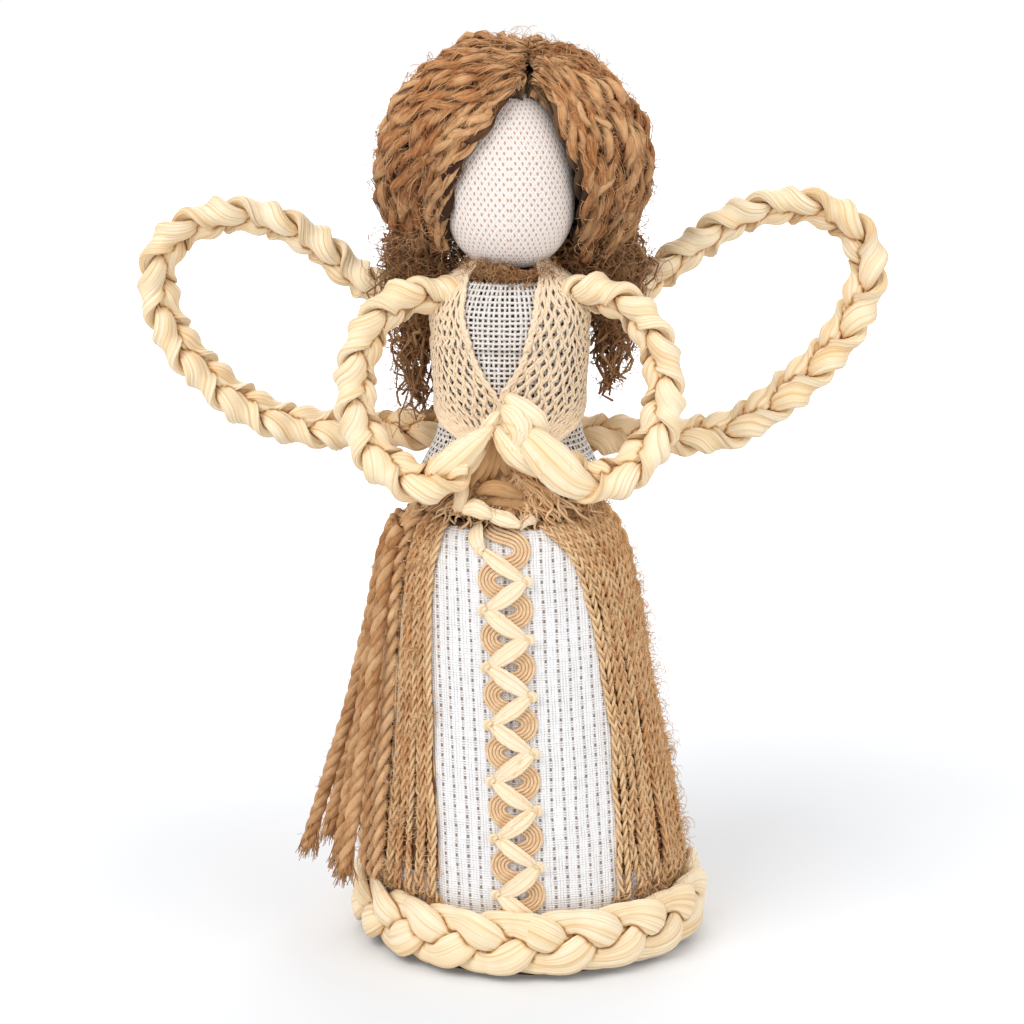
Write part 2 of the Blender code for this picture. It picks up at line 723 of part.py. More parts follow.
def build_doll():
    clear_scene()
    make_base_disc()
    make_skirt_cone()
    make_body_stick()
    make_torso()
    make_head()
    make_bindings()
    make_bodice()
    make_lace(-1, "lace_left")
    make_lace(1, "lace_right")
    make_skirt_cloth()
    make_gimp()
    make_lacing()
    make_overskirt()
    for name, yarn_share in cord_yarn_shares.items():
        make_loose_cord(name, yarn_share, cord_reach_shares[name])
    make_hem()
    make_arm(-1, "arm_left")
    make_arm(1, "arm_right")
    make_hand(-1, "hand_left")
    make_hand(1, "hand_right")
    make_wing(-1, "wing_left", left_wing_shares)
    make_wing(1, "wing_right", right_wing_shares)
    make_back_strip()
    make_knot()
    make_hair(-1, "hair_left", 123)
    make_hair(1, "hair_right", 126)
    make_tuft(-1, "hair_tuft_left", 0.70, 0.560, 0.32)
    make_tuft(1, "hair_tuft_right", 0.76, 0.650, 0.48)


build_doll()
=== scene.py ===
import math

import bmesh
import bpy
import numpy as np
from mathutils.bvhtree import BVHTree
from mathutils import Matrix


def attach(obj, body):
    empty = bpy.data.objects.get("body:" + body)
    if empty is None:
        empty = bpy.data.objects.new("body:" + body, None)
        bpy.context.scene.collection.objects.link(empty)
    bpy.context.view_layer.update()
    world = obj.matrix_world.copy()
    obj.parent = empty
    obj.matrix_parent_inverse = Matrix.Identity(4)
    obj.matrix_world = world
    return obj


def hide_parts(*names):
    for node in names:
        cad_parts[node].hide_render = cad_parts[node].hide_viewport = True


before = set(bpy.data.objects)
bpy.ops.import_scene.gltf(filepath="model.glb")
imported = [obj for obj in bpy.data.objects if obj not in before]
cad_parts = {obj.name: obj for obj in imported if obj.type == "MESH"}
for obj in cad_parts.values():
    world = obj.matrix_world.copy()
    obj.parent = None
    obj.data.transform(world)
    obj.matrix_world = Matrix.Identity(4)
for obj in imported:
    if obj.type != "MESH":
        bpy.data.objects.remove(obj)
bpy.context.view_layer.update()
chance = np.random.default_rng(41)
tau = 2 * math.pi

# sizes that the clothes and straw are laid out on, in metres
body = {"gap": 0.0003, "lean": 0.0053, "waist": 0.119, "skirtRadius": 0.0404,
        "torsoFoot": 0.1193, "torsoTop": 0.1845, "torsoHalfWidth": 0.0195,
        "torsoHalfDepth": 0.0150, "bodiceFoot": 0.1274, "flare": 0.0062, "flareRise": 0.0180,
        "headFoot": 0.1848, "headHeight": 0.0488, "headHalfWidth": 0.0166,
        "hidden": 0.0145, "juteFoot": 0.0246, "juteTop": 0.116, "rim": 0.1190, "cloth": 0.0008,
        "tuck": 0.0024, "tuckFoot": 0.1146, "tuckRise": 0.0044}
bellShares = ((0, 1), (.18, 1), (.34, .945), (.54, .862), (.75, .785), (.90, .705), (1, .585))
torsoShares = ((0, 1.08, 1.28), (.07, 1.06, 1.24), (.16, .95, 1.04), (.30, .88, .94),
               (.50, .95, .98), (.70, 1, 1), (.80, .90, .88), (.85, .72, .70),
               (.88, .42, .48), (1, .37, .44))
shoulderShares = ((0, 0), (.60, .5), (.70, .985), (.78, 1.02), (.83, 1.01), (.90, .89), (.94, .79),
                  (.971, .685), (1.015, .46), (1.04, .38), (1.2, .33))
headShares = ((0, .36), (.04, .55), (.12, .79), (.24, .955), (.38, 1), (.54, .97),
              (.70, .86), (.84, .66), (.94, .40), (1, 0))
# where the jute at the back starts and ends round the skirt: (share of its height, degrees)
backEdges = (((0, 99), (1, 99.5)), ((0, 299), (1, 290)))


# points and paths
def unit(v):
    return v / np.maximum(np.linalg.norm(v, axis=-1, keepdims=True), 1e-12)


def dot(a, b):
    return (a * b).sum(-1, keepdims=True)


def tableAt(table, where, column):
    rows = np.array(table, float)
    return np.interp(where, rows[:, 0], rows[:, column])


def ease(x):
    x = np.clip(x, 0, 1)
    return x * x * (3 - 2 * x)


def smoothed(values, reach):
    # running mean over this many neighbours to each side
    width = 2 * reach + 1
    return np.convolve(np.pad(values, reach, mode="edge"), np.ones(width) / width, "valid")


def smoothPath(points, count):
    # evenly spaced points on the smooth curve through these, and its length
    p = np.array(points, float)
    p = np.vstack([2 * p[0] - p[1], p, 2 * p[-1] - p[-2]])
    t = np.linspace(0, 1, 60)[:-1, None]
    parts = []
    for a, b, c, d in zip(p, p[1:], p[2:], p[3:]):
        parts.append(b * (2 * t ** 3 - 3 * t ** 2 + 1) + (c - a) / 2 * (t ** 3 - 2 * t ** 2 + t)
                     + c * (3 * t ** 2 - 2 * t ** 3) + (d - b) / 2 * (t ** 3 - t ** 2))
    fine = np.vstack(parts + [p[-2][None]])
    run = np.concatenate([[0], np.cumsum(np.linalg.norm(np.diff(fine, axis=0), axis=1))])
    where = np.linspace(0, run[-1], count + 1)
    return np.stack([np.interp(where, run, fine[:, k]) for k in range(3)], -1), run[-1]


def frames(path, hint, closed=False):
    # along the path, towards the hint, and across both
    if closed:
        along = unit(np.roll(path, -1, -2) - np.roll(path, 1, -2))
    else:
        along = unit(np.gradient(path, axis=-2))
    hint = np.broadcast_to(np.asarray(hint, float), path.shape)
    out = unit(hint - along * dot(along, hint))
    return along, out, np.cross(out, along)


def ringRound(paths, hint, sides, flat=1.0):
    # from each point of a path to the points of a ring round it; flat is depth over width
    _, out, wide = frames(paths, hint)
    turn = tau * np.arange(sides) / sides
    return (wide[:, :, None] * np.cos(turn)[None, None, :, None]
            + out[:, :, None] * np.sin(turn)[None, None, :, None] * flat)


def wobble(shape, waves, amount):
    # smooth random drift along each path: shape is (paths, points, axes)
    n, m, axes = shape
    t = np.linspace(0, 1, m)[None, :, None]
    total = np.zeros(shape)
    for wave in waves:
        phase = chance.random((n, 1, axes))
        size = chance.normal(0, 1, (n, 1, axes)) / math.sqrt(wave)
        total += size * np.sin(tau * (wave * t * (0.8 + 0.4 * chance.random((n, 1, axes))) + phase))
    return total * amount


def bellRadius(height):
    return body["skirtRadius"] * tableAt(bellShares, np.asarray(height) / body["waist"], 1)


def skirtPoint(degrees, height, lift):
    degrees, height, lift = np.broadcast_arrays(degrees, height, lift)
    angle = np.radians(degrees)
    tuck = body["tuck"] * np.clip((height - body["tuckFoot"]) / body["tuckRise"], 0, 1) ** 2
    radius = bellRadius(height) + lift - tuck
    return np.stack([radius * np.sin(angle) - body["lean"] * height / body["waist"],
                     -radius * np.cos(angle), height * 1.0], -1)


def torsoPoint(degrees, height, lift):
    degrees, height, lift = np.broadcast_arrays(degrees, height, lift)
    share = (height - body["torsoFoot"]) / (body["torsoTop"] - body["torsoFoot"])
    wide = body["torsoHalfWidth"] * tableAt(torsoShares, share, 1) + lift
    deep = body["torsoHalfDepth"] * tableAt(torsoShares, share, 2) + lift
    angle = np.radians(degrees)
    return np.stack([wide * np.sin(angle) - body["lean"], -deep * np.cos(angle), height * 1.0], -1)


def bodicePoint(degrees, height, lift):
    # the cloth domes over the shoulders and flares out below the waist
    flare = np.maximum(0, 1 - (height - body["bodiceFoot"]) / body["flareRise"]) ** 1.2 * body["flare"]
    at = torsoPoint(degrees, height, lift + body["gap"] + flare)
    share = (height - body["torsoFoot"]) / (body["torsoTop"] - body["torsoFoot"])
    dome = tableAt(shoulderShares, np.clip(share, 0, 1.2), 1) * body["torsoHalfWidth"] + lift
    angle, dome = np.radians(degrees), np.maximum(dome, lift)
    wide = np.maximum(np.abs((at[..., 0] + body["lean"])), np.abs(dome * np.sin(angle)))
    deep = np.maximum(np.abs(at[..., 1]), np.abs(dome * np.cos(angle)) * 0.86)
    x, y = np.sign(np.sin(angle)) * wide - body["lean"], -np.sign(np.cos(angle)) * deep
    return np.stack([x, y, at[..., 2]], -1)


def fromBody(path):
    # level, away from the middle line of the doll's body
    return unit((path - np.array((-body["lean"], 0, 0))) * (1, 1, 0))


# meshes gathered from grids of points
class Bundle:
    def __init__(self):
        self.points, self.corners, self.counts, self.uvs = [], [], [], []
        self.tones, self.folds, self.size = [], [], 0

    def grid(self, rings, around=True, along=False, tone=None, fold=0.0, uvAt=None):
        # rings: (pieces, rings, points round a ring, 3); around and along close it, open tubes get
        # end faces, and uv is in metres
        p = np.asarray(rings, float)
        n, m, s, _ = p.shape
        index = (np.arange(n * m * s) + self.size).reshape(n, m, s)
        rows = index if along else index[:, :-1]
        ahead = np.roll(index, -1, 1) if along else index[:, 1:]
        if around:
            quads = np.stack([rows, np.roll(rows, -1, 2), np.roll(ahead, -1, 2), ahead], -1)
        else:
            quads = np.stack([rows[..., :-1], rows[..., 1:], ahead[..., 1:], ahead[..., :-1]], -1)
        step = np.linalg.norm(np.diff(p, axis=1), axis=-1).mean(-1)
        run = np.concatenate([np.zeros((n, 1)), np.cumsum(step, 1)], 1)
        if along:
            last = np.linalg.norm(p[:, 0] - p[:, -1], axis=-1).mean(-1)
            run = np.concatenate([run, run[:, -1:] + last[:, None]], 1)
        side = np.linalg.norm(np.roll(p, -1, 2) - p, axis=-1)[..., :-1].mean()
        u = np.arange(quads.shape[2] + 1) * side
        low, high = run[:, :quads.shape[1]], run[:, 1:quads.shape[1] + 1]
        uv = np.empty(quads.shape + (2,))
        shape = quads.shape[:3]
        uv[..., 0, 0] = uv[..., 3, 0] = np.broadcast_to(u[:-1], shape)
        uv[..., 1, 0] = uv[..., 2, 0] = np.broadcast_to(u[1:], shape)
        uv[..., 0, 1] = uv[..., 1, 1] = np.broadcast_to(low[..., None], shape)
        uv[..., 2, 1] = uv[..., 3, 1] = np.broadcast_to(high[..., None], shape)
        if uvAt is not None:
            uv = np.concatenate([np.asarray(uvAt, float)] * n)[(quads - self.size).reshape(-1)]
        self.points.append(p.reshape(-1, 3))
        self.corners.append(quads.reshape(-1))
        self.uvs.append(uv.reshape(-1, 2))
        self.counts.append(np.full(quads.size // 4, 4))
        if around and not along:
            for ends in (index[:, 0, ::-1], index[:, -1]):
                self.corners.append(ends.reshape(-1))
                spot = np.broadcast_to(np.linspace(0, side * s, s), ends.shape)
                self.uvs.append(np.stack([spot, np.zeros(ends.shape)], -1).reshape(-1, 2))
                self.counts.append(np.full(len(ends), s))
        whole = (n, m, s)
        tone = chance.random(n)[:, None, None] if tone is None else np.asarray(tone, float)
        self.tones.append(np.broadcast_to(tone, whole).reshape(-1))
        self.folds.append(np.broadcast_to(fold, whole).reshape(-1))
        self.size += n * m * s

    def tubes(self, paths, radius, sides, hint, flat=1.0, taper=None, tone=None, fold=0.0):
        # round or flattened threads along many paths at once
        paths = np.asarray(paths, float)
        radius = np.broadcast_to(np.asarray(radius, float), paths.shape[:2])
        if taper is not None:
            radius = radius * taper
        ring = ringRound(paths, hint, sides, flat)
        self.grid(paths[:, :, None] + ring * radius[:, :, None, None], tone=tone, fold=fold)

    def shell(self, outer, inner, uvAt, fold=0.0):
        # a sheet with thickness: outside, inside and the strips round its four edges
        rows, columns = outer.shape[:2]
        uvAt = np.asarray(uvAt, float).reshape(rows, columns, 2)
        edges = [(0, slice(None), False), (-1, slice(None), True), (slice(None), 0, True),
                 (slice(None), -1, False)]
        self.grid(outer[None], around=False, uvAt=uvAt.reshape(-1, 2), fold=fold, tone=0.5)
        self.grid(inner[None, :, ::-1], around=False, uvAt=uvAt[:, ::-1].reshape(-1, 2), fold=fold, tone=0.5)
        for row, column, flip in edges:
            a, b, at = outer[row, column], inner[row, column], uvAt[row, column]
            pair = np.stack([a, b]) if flip else np.stack([b, a])
            self.grid(pair[None], around=False, uvAt=np.stack([at, at]).reshape(-1, 2), tone=0.5)

    def piece(self, name, material, nodes, slot, weld=False):
        mesh = bpy.data.meshes.new(name)
        points, corners = np.concatenate(self.points), np.concatenate(self.corners)
        counts = np.concatenate(self.counts)
        mesh.vertices.add(len(points))
        mesh.vertices.foreach_set("co", points.astype(np.float32).ravel())
        mesh.loops.add(len(corners))
        mesh.loops.foreach_set("vertex_index", corners.astype(np.int32))
        mesh.polygons.add(len(counts))
        mesh.polygons.foreach_set("loop_start", (np.cumsum(counts) - counts).astype(np.int32))
        mesh.update(calc_edges=True)
        layer = mesh.uv_layers.new(name="uv")
        layer.data.foreach_set("uv", np.concatenate(self.uvs).astype(np.float32).ravel())
        # fold is how far each point is darkened as painted shade
        for key, values in (("tone", self.tones), ("fold", self.folds)):
            held = mesh.attributes.new(key, "FLOAT", "POINT")
            held.data.foreach_set("value", np.concatenate(values).astype(np.float32))
        mesh.polygons.foreach_set("use_smooth", np.full(len(counts), True))
        mesh.update()
        if weld:
            build = bmesh.new()
            build.from_mesh(mesh)
            bmesh.ops.remove_doubles(build, verts=build.verts, dist=1e-7)
            build.to_mesh(mesh)
            build.free()
        made = bpy.data.objects.new(name, mesh)
        bpy.context.scene.collection.objects.link(made)
        mesh.materials.append(material)
        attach(made, "root")
        if nodes:
            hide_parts(*nodes)
        return made


# shader maths
class Wire:
    def __init__(self, paint, socket):
        self.paint, self.socket = paint, socket

    def maths(self, operation, *values):
        return self.paint.node("ShaderNodeMath", {"operation": operation}, values)

    def __add__(self, other):
        return self.maths("ADD", self, other)

    def __sub__(self, other):
        return self.maths("SUBTRACT", self, other)

    def __rsub__(self, other):
        return self.maths("SUBTRACT", other, self)

    def __mul__(self, other):
        return self.maths("MULTIPLY", self, other)

    __radd__, __rmul__ = __add__, __mul__

    def fract(self):
        return self.maths("FRACT", self)

    def size(self):
        return self.maths("ABSOLUTE", self)

    def sine(self):
        return self.maths("SINE", self)

    def rise(self, low, high):
        # 0 below low and 1 above high, with a soft step between
        return self.paint.node("ShaderNodeMapRange", {"interpolation_type": "SMOOTHSTEP"},
                               {"Value": self, "From Min": low, "From Max": high})


class Paint:
    def __init__(self, name, roughness, sheen=0.0):
        self.material = bpy.data.materials.new(name)
        self.material.use_nodes = True
        self.tree = self.material.node_tree
        self.shader = self.tree.nodes["Principled BSDF"]
        self.shader.inputs["Roughness"].default_value = roughness
        self.shader.inputs["Sheen Weight"].default_value = sheen
        self.shader.inputs["Specular IOR Level"].default_value = 0.25

    def join(self, value, socket):
        if isinstance(value, Wire):
            self.tree.links.new(value.socket, socket)
        else:
            socket.default_value = value

    def node(self, kind, settings, values, output=0):
        made = self.tree.nodes.new(kind)
        for key, value in settings.items():
            setattr(made, key, value)
        pairs = values.items() if isinstance(values, dict) else enumerate(values)
        for key, value in pairs:
            self.join(value, made.inputs[key])
        return Wire(self, made.outputs[output])

    def uv(self):
        return self.node("ShaderNodeUVMap", {"uv_map": "uv"}, {})

    def place(self):
        return self.node("ShaderNodeTexCoord", {}, {}, 3)

    def held(self, name):
        return self.node("ShaderNodeAttribute", {"attribute_name": name}, {}, 2)

    def stretch(self, vector, scale):
        return self.node("ShaderNodeVectorMath", {"operation": "MULTIPLY"}, (vector, scale))

    def part(self, vector, axis):
        return self.node("ShaderNodeSeparateXYZ", {}, (vector,), axis)

    def noise(self, vector, scale, detail=3.0, rough=0.55, warp=0.0):
        return self.node("ShaderNodeTexNoise", {}, {"Vector": vector, "Scale": scale, "Detail": detail,
                                                    "Roughness": rough, "Distortion": warp})

    def mix(self, share, low, high):
        return self.node("ShaderNodeMix", {"data_type": "RGBA"}, {0: share, 6: low, 7: high}, 2)

    def done(self, colour, height, depth, strength):
        self.join(colour, self.shader.inputs["Base Color"])
        bump = self.node("ShaderNodeBump", {}, {"Strength": strength, "Distance": depth, "Height": height})
        self.join(bump, self.shader.inputs["Normal"])
        return self.material


def tint(red, green, blue):
    # a colour as a picture shows it, 0 to 255
    return tuple(((c / 255 + 0.055) / 1.055) ** 2.4 for c in (red, green, blue)) + (1.0,)


def huskPaint(name, look):
    paint = Paint(name, look["roughness"], 0.1)
    uv = paint.uv()
    streak = paint.noise(paint.stretch(uv, (2300.0, 26.0, 1.0)), 1.0, 2.0, 0.5, 0.15)
    vein = paint.noise(paint.stretch(uv, (1150.0, 12.0, 1.0)), 1.0, 2.0, 0.5, 0.15)
    broad = paint.noise(paint.stretch(uv, (330.0, 16.0, 1.0)), 1.0, 2.0, 0.5, 0.4)
    patch = paint.noise(paint.place(), 110.0, 3.0)
    fold, tone = paint.held("fold"), paint.held("tone")
    colour = paint.mix(broad.rise(0.32, 0.70), look["pale"], look["straw"])
    colour = paint.mix(patch.rise(0.45, 0.80) * 0.5, colour, look["cream"])
    colour = paint.mix(vein.rise(0.52, 0.66) * 0.62, colour, look["gold"])
    colour = paint.mix(streak.rise(0.52, 0.66) * 0.50, colour, look["gold"])
    colour = paint.mix(tone.rise(0.0, 1.0) * 0.22, colour, look["straw"])
    # a tone past 1 mixes in the darker tone: painted shade on the wings behind the torso, and darker knot and
    # tail leaves
    colour = paint.mix((tone - 1).rise(0.0, 1.0) * 0.75, colour, look["darkerTone"])
    # painted shade: creases, contacts and tucked leaf ends are darkened to gold, then brown
    colour = paint.mix(fold.rise(0.10, 0.75) * 0.62, colour, look["gold"])
    colour = paint.mix(fold.rise(0.55, 1.0) * 0.80, colour, look["brown"])
    return paint.done(colour, streak * 0.45 + vein * 0.8 + broad * 0.7, 0.00060, 0.85)


def jutePaint(name, look):
    paint = Paint(name, 0.85, 0.04)
    uv = paint.uv()
    strand = paint.noise(paint.stretch(uv, (3600.0, 260.0, 1.0)), 1.0, 3.0, 0.6, 0.8)
    patch = paint.noise(paint.place(), 160.0, 3.0)
    fold, tone = paint.held("fold"), paint.held("tone")
    colour = paint.mix(strand.rise(0.30, 0.72), look["deep"], look["mid"])
    colour = paint.mix(patch.rise(0.40, 0.75) * 0.55, colour, look["light"])
    colour = paint.mix(tone.rise(0.1, 0.9) * 0.60, colour, look["light"])
    colour = paint.mix(fold, colour, look["shadow"])
    return paint.done(colour, strand, 0.0004, 0.8)


def threadPaint(name, look):
    paint = Paint(name, 0.9, 0.2)
    fine = paint.noise(paint.stretch(paint.uv(), (5200.0, 500.0, 1.0)), 1.0, 3.0)
    patch = paint.noise(paint.place(), 220.0, 3.0)
    colour = paint.mix(fine.rise(0.30, 0.70), look["deep"], look["light"])
    colour = paint.mix(patch.rise(0.5, 0.8) * 0.5, colour, look["mid"])
    colour = paint.mix(paint.held("fold"), colour, look["shadow"])
    return paint.done(colour, fine, 0.00015, 0.6)


def weavePaint(name, look):
    # open canvas: bands of fine threads both ways, with a hole at every crossing of the gaps
    paint = Paint(name, 0.9, 0.2)
    uv = paint.uv()
    drift = paint.noise(paint.place(), 130.0, 2.0)
    across = paint.part(uv, 0) + drift * 0.0006
    up = paint.part(uv, 1) + drift * 0.0006
    column = ((across * (1 / look["columnStep"])).fract() - 0.5).size()
    row = ((up * (1 / look["rowStep"])).fract() - 0.5).size()
    uneven = paint.noise(uv, 360.0, 2.0)
    hole = (1 - column.rise(0.055, 0.115)) * (1 - row.rise(0.08, 0.15)) * uneven.rise(0.22, 0.45)
    warpLine = ((across * (4 / look["columnStep"])).fract() - 0.5).size()
    weftLine = ((up * (4 / look["rowStep"])).fract() - 0.5).size()
    warpPick = paint.noise(paint.stretch(uv, (1200.0, 60.0, 1.0)), 1.0, 2.0)
    weftPick = paint.noise(paint.stretch(uv, (60.0, 1200.0, 1.0)), 1.0, 2.0)
    warpGap = (1 - warpLine.rise(0.08, 0.26)) * warpPick.rise(0.36, 0.62)
    weftGap = (1 - weftLine.rise(0.08, 0.26)) * weftPick.rise(0.36, 0.62)
    dots = (1 - column.rise(0.045, 0.10)) * (1 - weftLine.rise(0.14, 0.34)) * 0.62
    pricks = (1 - warpLine.rise(0.10, 0.26)) * (1 - weftLine.rise(0.10, 0.26))
    pricks = pricks * uneven.rise(0.42, 0.62) * 0.30
    colour = paint.mix(warpGap * 0.75, look["white"], look["shade"])
    colour = paint.mix(weftGap * 0.45, colour, look["shade"])
    dark = hole + dots + pricks
    colour = paint.mix(dark.rise(0.0, 1.0), colour, look["hole"])
    height = (warpLine + weftLine) * 0.8 - dark * 1.4
    return paint.done(colour, height, 0.0003, 0.9)


def knitPaint(name, look):
    # stretched knit with a small hole at each stitch, in staggered rows
    paint = Paint(name, 0.9, 0.25)
    uv = paint.uv()
    drift = paint.noise(paint.place(), 190.0, 2.0)
    across = (paint.part(uv, 0) + drift * 0.0012) * (1 / look["stitchWide"])
    up = (paint.part(uv, 1) + drift * 0.0009) * (1 / look["stitchHigh"])

    def dots(across, up):
        x, y = across.fract() - 0.5, up.fract() - 0.5
        return 1 - (x * x * 1.5 + y * y).rise(0.010, 0.042)

    hole = dots(across, up * 0.5) + dots(across + 0.5, up * 0.5 + 0.5)
    yarn = (across * tau * 2).sine() * (up * tau).sine()
    fine = paint.noise(uv, 3800.0, 3.0)
    patch = paint.noise(paint.place(), 120.0, 3.0)
    colour = paint.mix(yarn.rise(-0.8, 0.9), look["shade"], look["white"])
    colour = paint.mix(patch.rise(0.4, 0.8) * 0.5, colour, look["pink"])
    colour = paint.mix(fine.rise(0.55, 0.85) * 0.3, colour, look["shade"])
    colour = paint.mix((hole * patch.rise(0.1, 0.5)).rise(0.1, 1.0), colour, look["hole"])
    return paint.done(colour, yarn * 0.4 + fine * 0.3 - hole, 0.0003, 0.8)


def boardPaint(name, look):
    paint = Paint(name, 0.85)
    fine = paint.noise(paint.stretch(paint.place(), (900.0, 900.0, 300.0)), 1.0, 4.0)
    patch = paint.noise(paint.place(), 60.0, 3.0)
    colour = paint.mix(fine.rise(0.3, 0.7), look["dark"], look["light"])
    colour = paint.mix(patch.rise(0.4, 0.8) * 0.4, colour, look["dark"])
    return paint.done(colour, fine, 0.0002, 0.6)


huskLook = {"roughness": 0.46, "pale": tint(255, 239, 207), "straw": tint(251, 223, 178),
            "cream": tint(255, 247, 229), "gold": tint(226, 177, 110), "brown": tint(146, 90, 40),
            "darkerTone": tint(222, 188, 144)}
darkerLook = dict(huskLook, pale=tint(228, 190, 138), straw=tint(208, 162, 108),
                cream=tint(240, 208, 160), gold=tint(176, 122, 70), darkerTone=tint(176, 128, 80))
raffiaLook = dict(huskLook, pale=tint(252, 234, 202), straw=tint(248, 222, 184), brown=tint(190, 138, 84))
juteLook = {"deep": tint(202, 142, 88), "mid": tint(246, 192, 136), "light": tint(255, 224, 176),
            "shadow": tint(84, 44, 16)}
cordLook = dict(juteLook, deep=tint(150, 98, 54), mid=tint(204, 150, 98), light=tint(240, 198, 150),
                shadow=tint(54, 26, 9))
hairLook = {"deep": tint(136, 80, 38), "mid": tint(216, 148, 92), "light": tint(250, 202, 148),
            "shadow": tint(34, 15, 5)}
whiteLook = {"deep": tint(214, 205, 196), "light": tint(250, 247, 243), "mid": tint(236, 228, 218),
             "shadow": tint(120, 98, 82)}
laceLook = {"deep": tint(238, 208, 170), "light": tint(255, 238, 212), "mid": tint(246, 220, 184),
            "shadow": tint(170, 128, 88)}
gimpLook = {"deep": tint(214, 168, 118), "light": tint(250, 222, 184), "mid": tint(236, 200, 154),
            "shadow": tint(140, 98, 60)}
canvasLook = {"columnStep": 0.0033, "rowStep": 0.0026, "white": tint(251, 250, 250),
              "shade": tint(218, 212, 210), "hole": tint(166, 144, 130)}
knitLook = {"stitchWide": 0.00185, "stitchHigh": 0.00135, "white": tint(253, 248, 244),
            "shade": tint(236, 222, 213), "pink": tint(249, 238, 231), "hole": tint(212, 168, 136)}
boardLook = {"dark": tint(84, 56, 36), "light": tint(128, 92, 62)}
woodLook = {"dark": tint(176, 134, 90), "light": tint(214, 176, 130)}
stuffLook = {"dark": tint(92, 66, 48), "light": tint(132, 100, 76)}

husk = huskPaint("husk", huskLook)
darkerHusk = huskPaint("darkerHusk", darkerLook)
raffia = huskPaint("raffia", raffiaLook)
jute = jutePaint("jute", juteLook)
cordJute = jutePaint("cordJute", cordLook)
hairJute = jutePaint("hairJute", hairLook)
whiteThread = threadPaint("whiteThread", whiteLook)
laceThread = threadPaint("laceThread", laceLook)
gimpThread = threadPaint("gimpThread", gimpLook)
canvas = weavePaint("canvas", canvasLook)
knit = knitPaint("knit", knitLook)
board = boardPaint("board", boardLook)
wood = boardPaint("wood", woodLook)
stuffing = boardPaint("stuffing", stuffLook)
print("materials made")

# camera, lamps and floor
view = {"elevation": 12, "distance": 0.8, "lens": 103.5, "sensor": 36, "target": (-0.00475, 0.0, 0.1176)}


def makeView():
    scene = bpy.context.scene
    scene.view_settings.view_transform = "Standard"
    data = bpy.data.cameras.new("camera")
    data.lens, data.sensor_width = view["lens"], view["sensor"]
    camera = bpy.data.objects.new("camera", data)
    rise = math.radians(view["elevation"])
    x, y, z = view["target"]
    camera.location = (x, y - view["distance"] * math.cos(rise), z + view["distance"] * math.sin(rise))
    camera.rotation_euler = (math.pi / 2 - rise, 0, 0)
    scene.collection.objects.link(camera)
    scene.camera = camera


lamps = {"key": {"place": (-0.9, -1.1, 1.3), "size": 1.1, "power": 17.0},
         "fill": {"place": (1.1, -0.9, 0.8), "size": 1.2, "power": 6.0},
         "back": {"place": (0.2, 1.3, 1.2), "size": 1.0, "power": 8.0}}
room = {"lampsAim": 0.12, "ambient": 0.62, "floorSize": 8, "floorGrey": 0.86,
        "floorTint": (0.975, 0.995, 1.025), "floorGlow": 0.06, "farGlow": 0.9, "glowFrom": 0.12,
        "glowTo": 1.0}


def makeLight():
    for name, lamp in lamps.items():
        data = bpy.data.lights.new(name, "AREA")
        data.size, data.energy = lamp["size"], lamp["power"]
        made = bpy.data.objects.new(name, data)
        made.location = lamp["place"]
        x, y, z = lamp["place"]
        made.rotation_euler = (math.atan2(math.hypot(x, y), z - room["lampsAim"]), 0, math.atan2(x, -y))
        bpy.context.scene.collection.objects.link(made)
    world = bpy.data.worlds.new("room")
    bpy.context.scene.world = world
    world.use_nodes = True
    tree = world.node_tree
    sky = tree.nodes["Background"]
    path = tree.nodes.new("ShaderNodeLightPath")
    seen = path.outputs["Is Camera Ray"]
    for kind in ("Is Glossy Ray", "Is Transmission Ray"):
        both = tree.nodes.new("ShaderNodeMath")
        both.operation, both.use_clamp = "ADD", True
        tree.links.new(seen, both.inputs[0])
        tree.links.new(path.outputs[kind], both.inputs[1])
        seen = both.outputs[0]
    level = tree.nodes.new("ShaderNodeMapRange")
    tree.links.new(seen, level.inputs["Value"])
    level.inputs["To Min"].default_value = room["ambient"]
    level.inputs["To Max"].default_value = 1.0
    tree.links.new(level.outputs[0], sky.inputs["Strength"])
    sky.inputs["Color"].default_value = (1, 1, 1, 1)


def makeFloor():
    bpy.ops.object.select_all(action="DESELECT")
    bpy.ops.mesh.primitive_plane_add(size=room["floorSize"], location=(0, 0, 0))
    floor = bpy.context.object
    floor.name = "floor"
    paint = Paint("floor", 0.9)
    colour = [room["floorGrey"] * share for share in room["floorTint"]]
    paint.shader.inputs["Base Color"].default_value = (*colour, 1)
    paint.shader.inputs["Specular IOR Level"].default_value = 0.0
    seen = paint.node("ShaderNodeLightPath", {}, {}, 0)
    away = paint.node("ShaderNodeVectorMath", {"operation": "LENGTH"}, (paint.place(),), 1)
    level = paint.node("ShaderNodeMapRange", {}, {
        "Value": away, "From Min": room["glowFrom"], "From Max": room["glowTo"],
        "To Min": room["floorGlow"], "To Max": room["farGlow"]})
    glow = paint.node("ShaderNodeEmission", {}, {"Strength": level})
    lit = paint.node("ShaderNodeAddShader", {}, {})
    # seen by the camera the floor glows more with distance, so it fades into the light background
    tree = paint.tree
    tree.links.new(paint.shader.outputs[0], lit.socket.node.inputs[0])
    tree.links.new(glow.socket, lit.socket.node.inputs[1])
    pick = tree.nodes.new("ShaderNodeMixShader")
    tree.links.new(seen.socket, pick.inputs[0])
    tree.links.new(paint.shader.outputs[0], pick.inputs[1])
    tree.links.new(lit.socket, pick.inputs[2])
    tree.links.new(pick.outputs[0], tree.nodes["Material Output"].inputs["Surface"])
    floor.data.materials.append(paint.material)


makeView()
makeLight()
makeFloor()
print("camera, lamps and floor made")

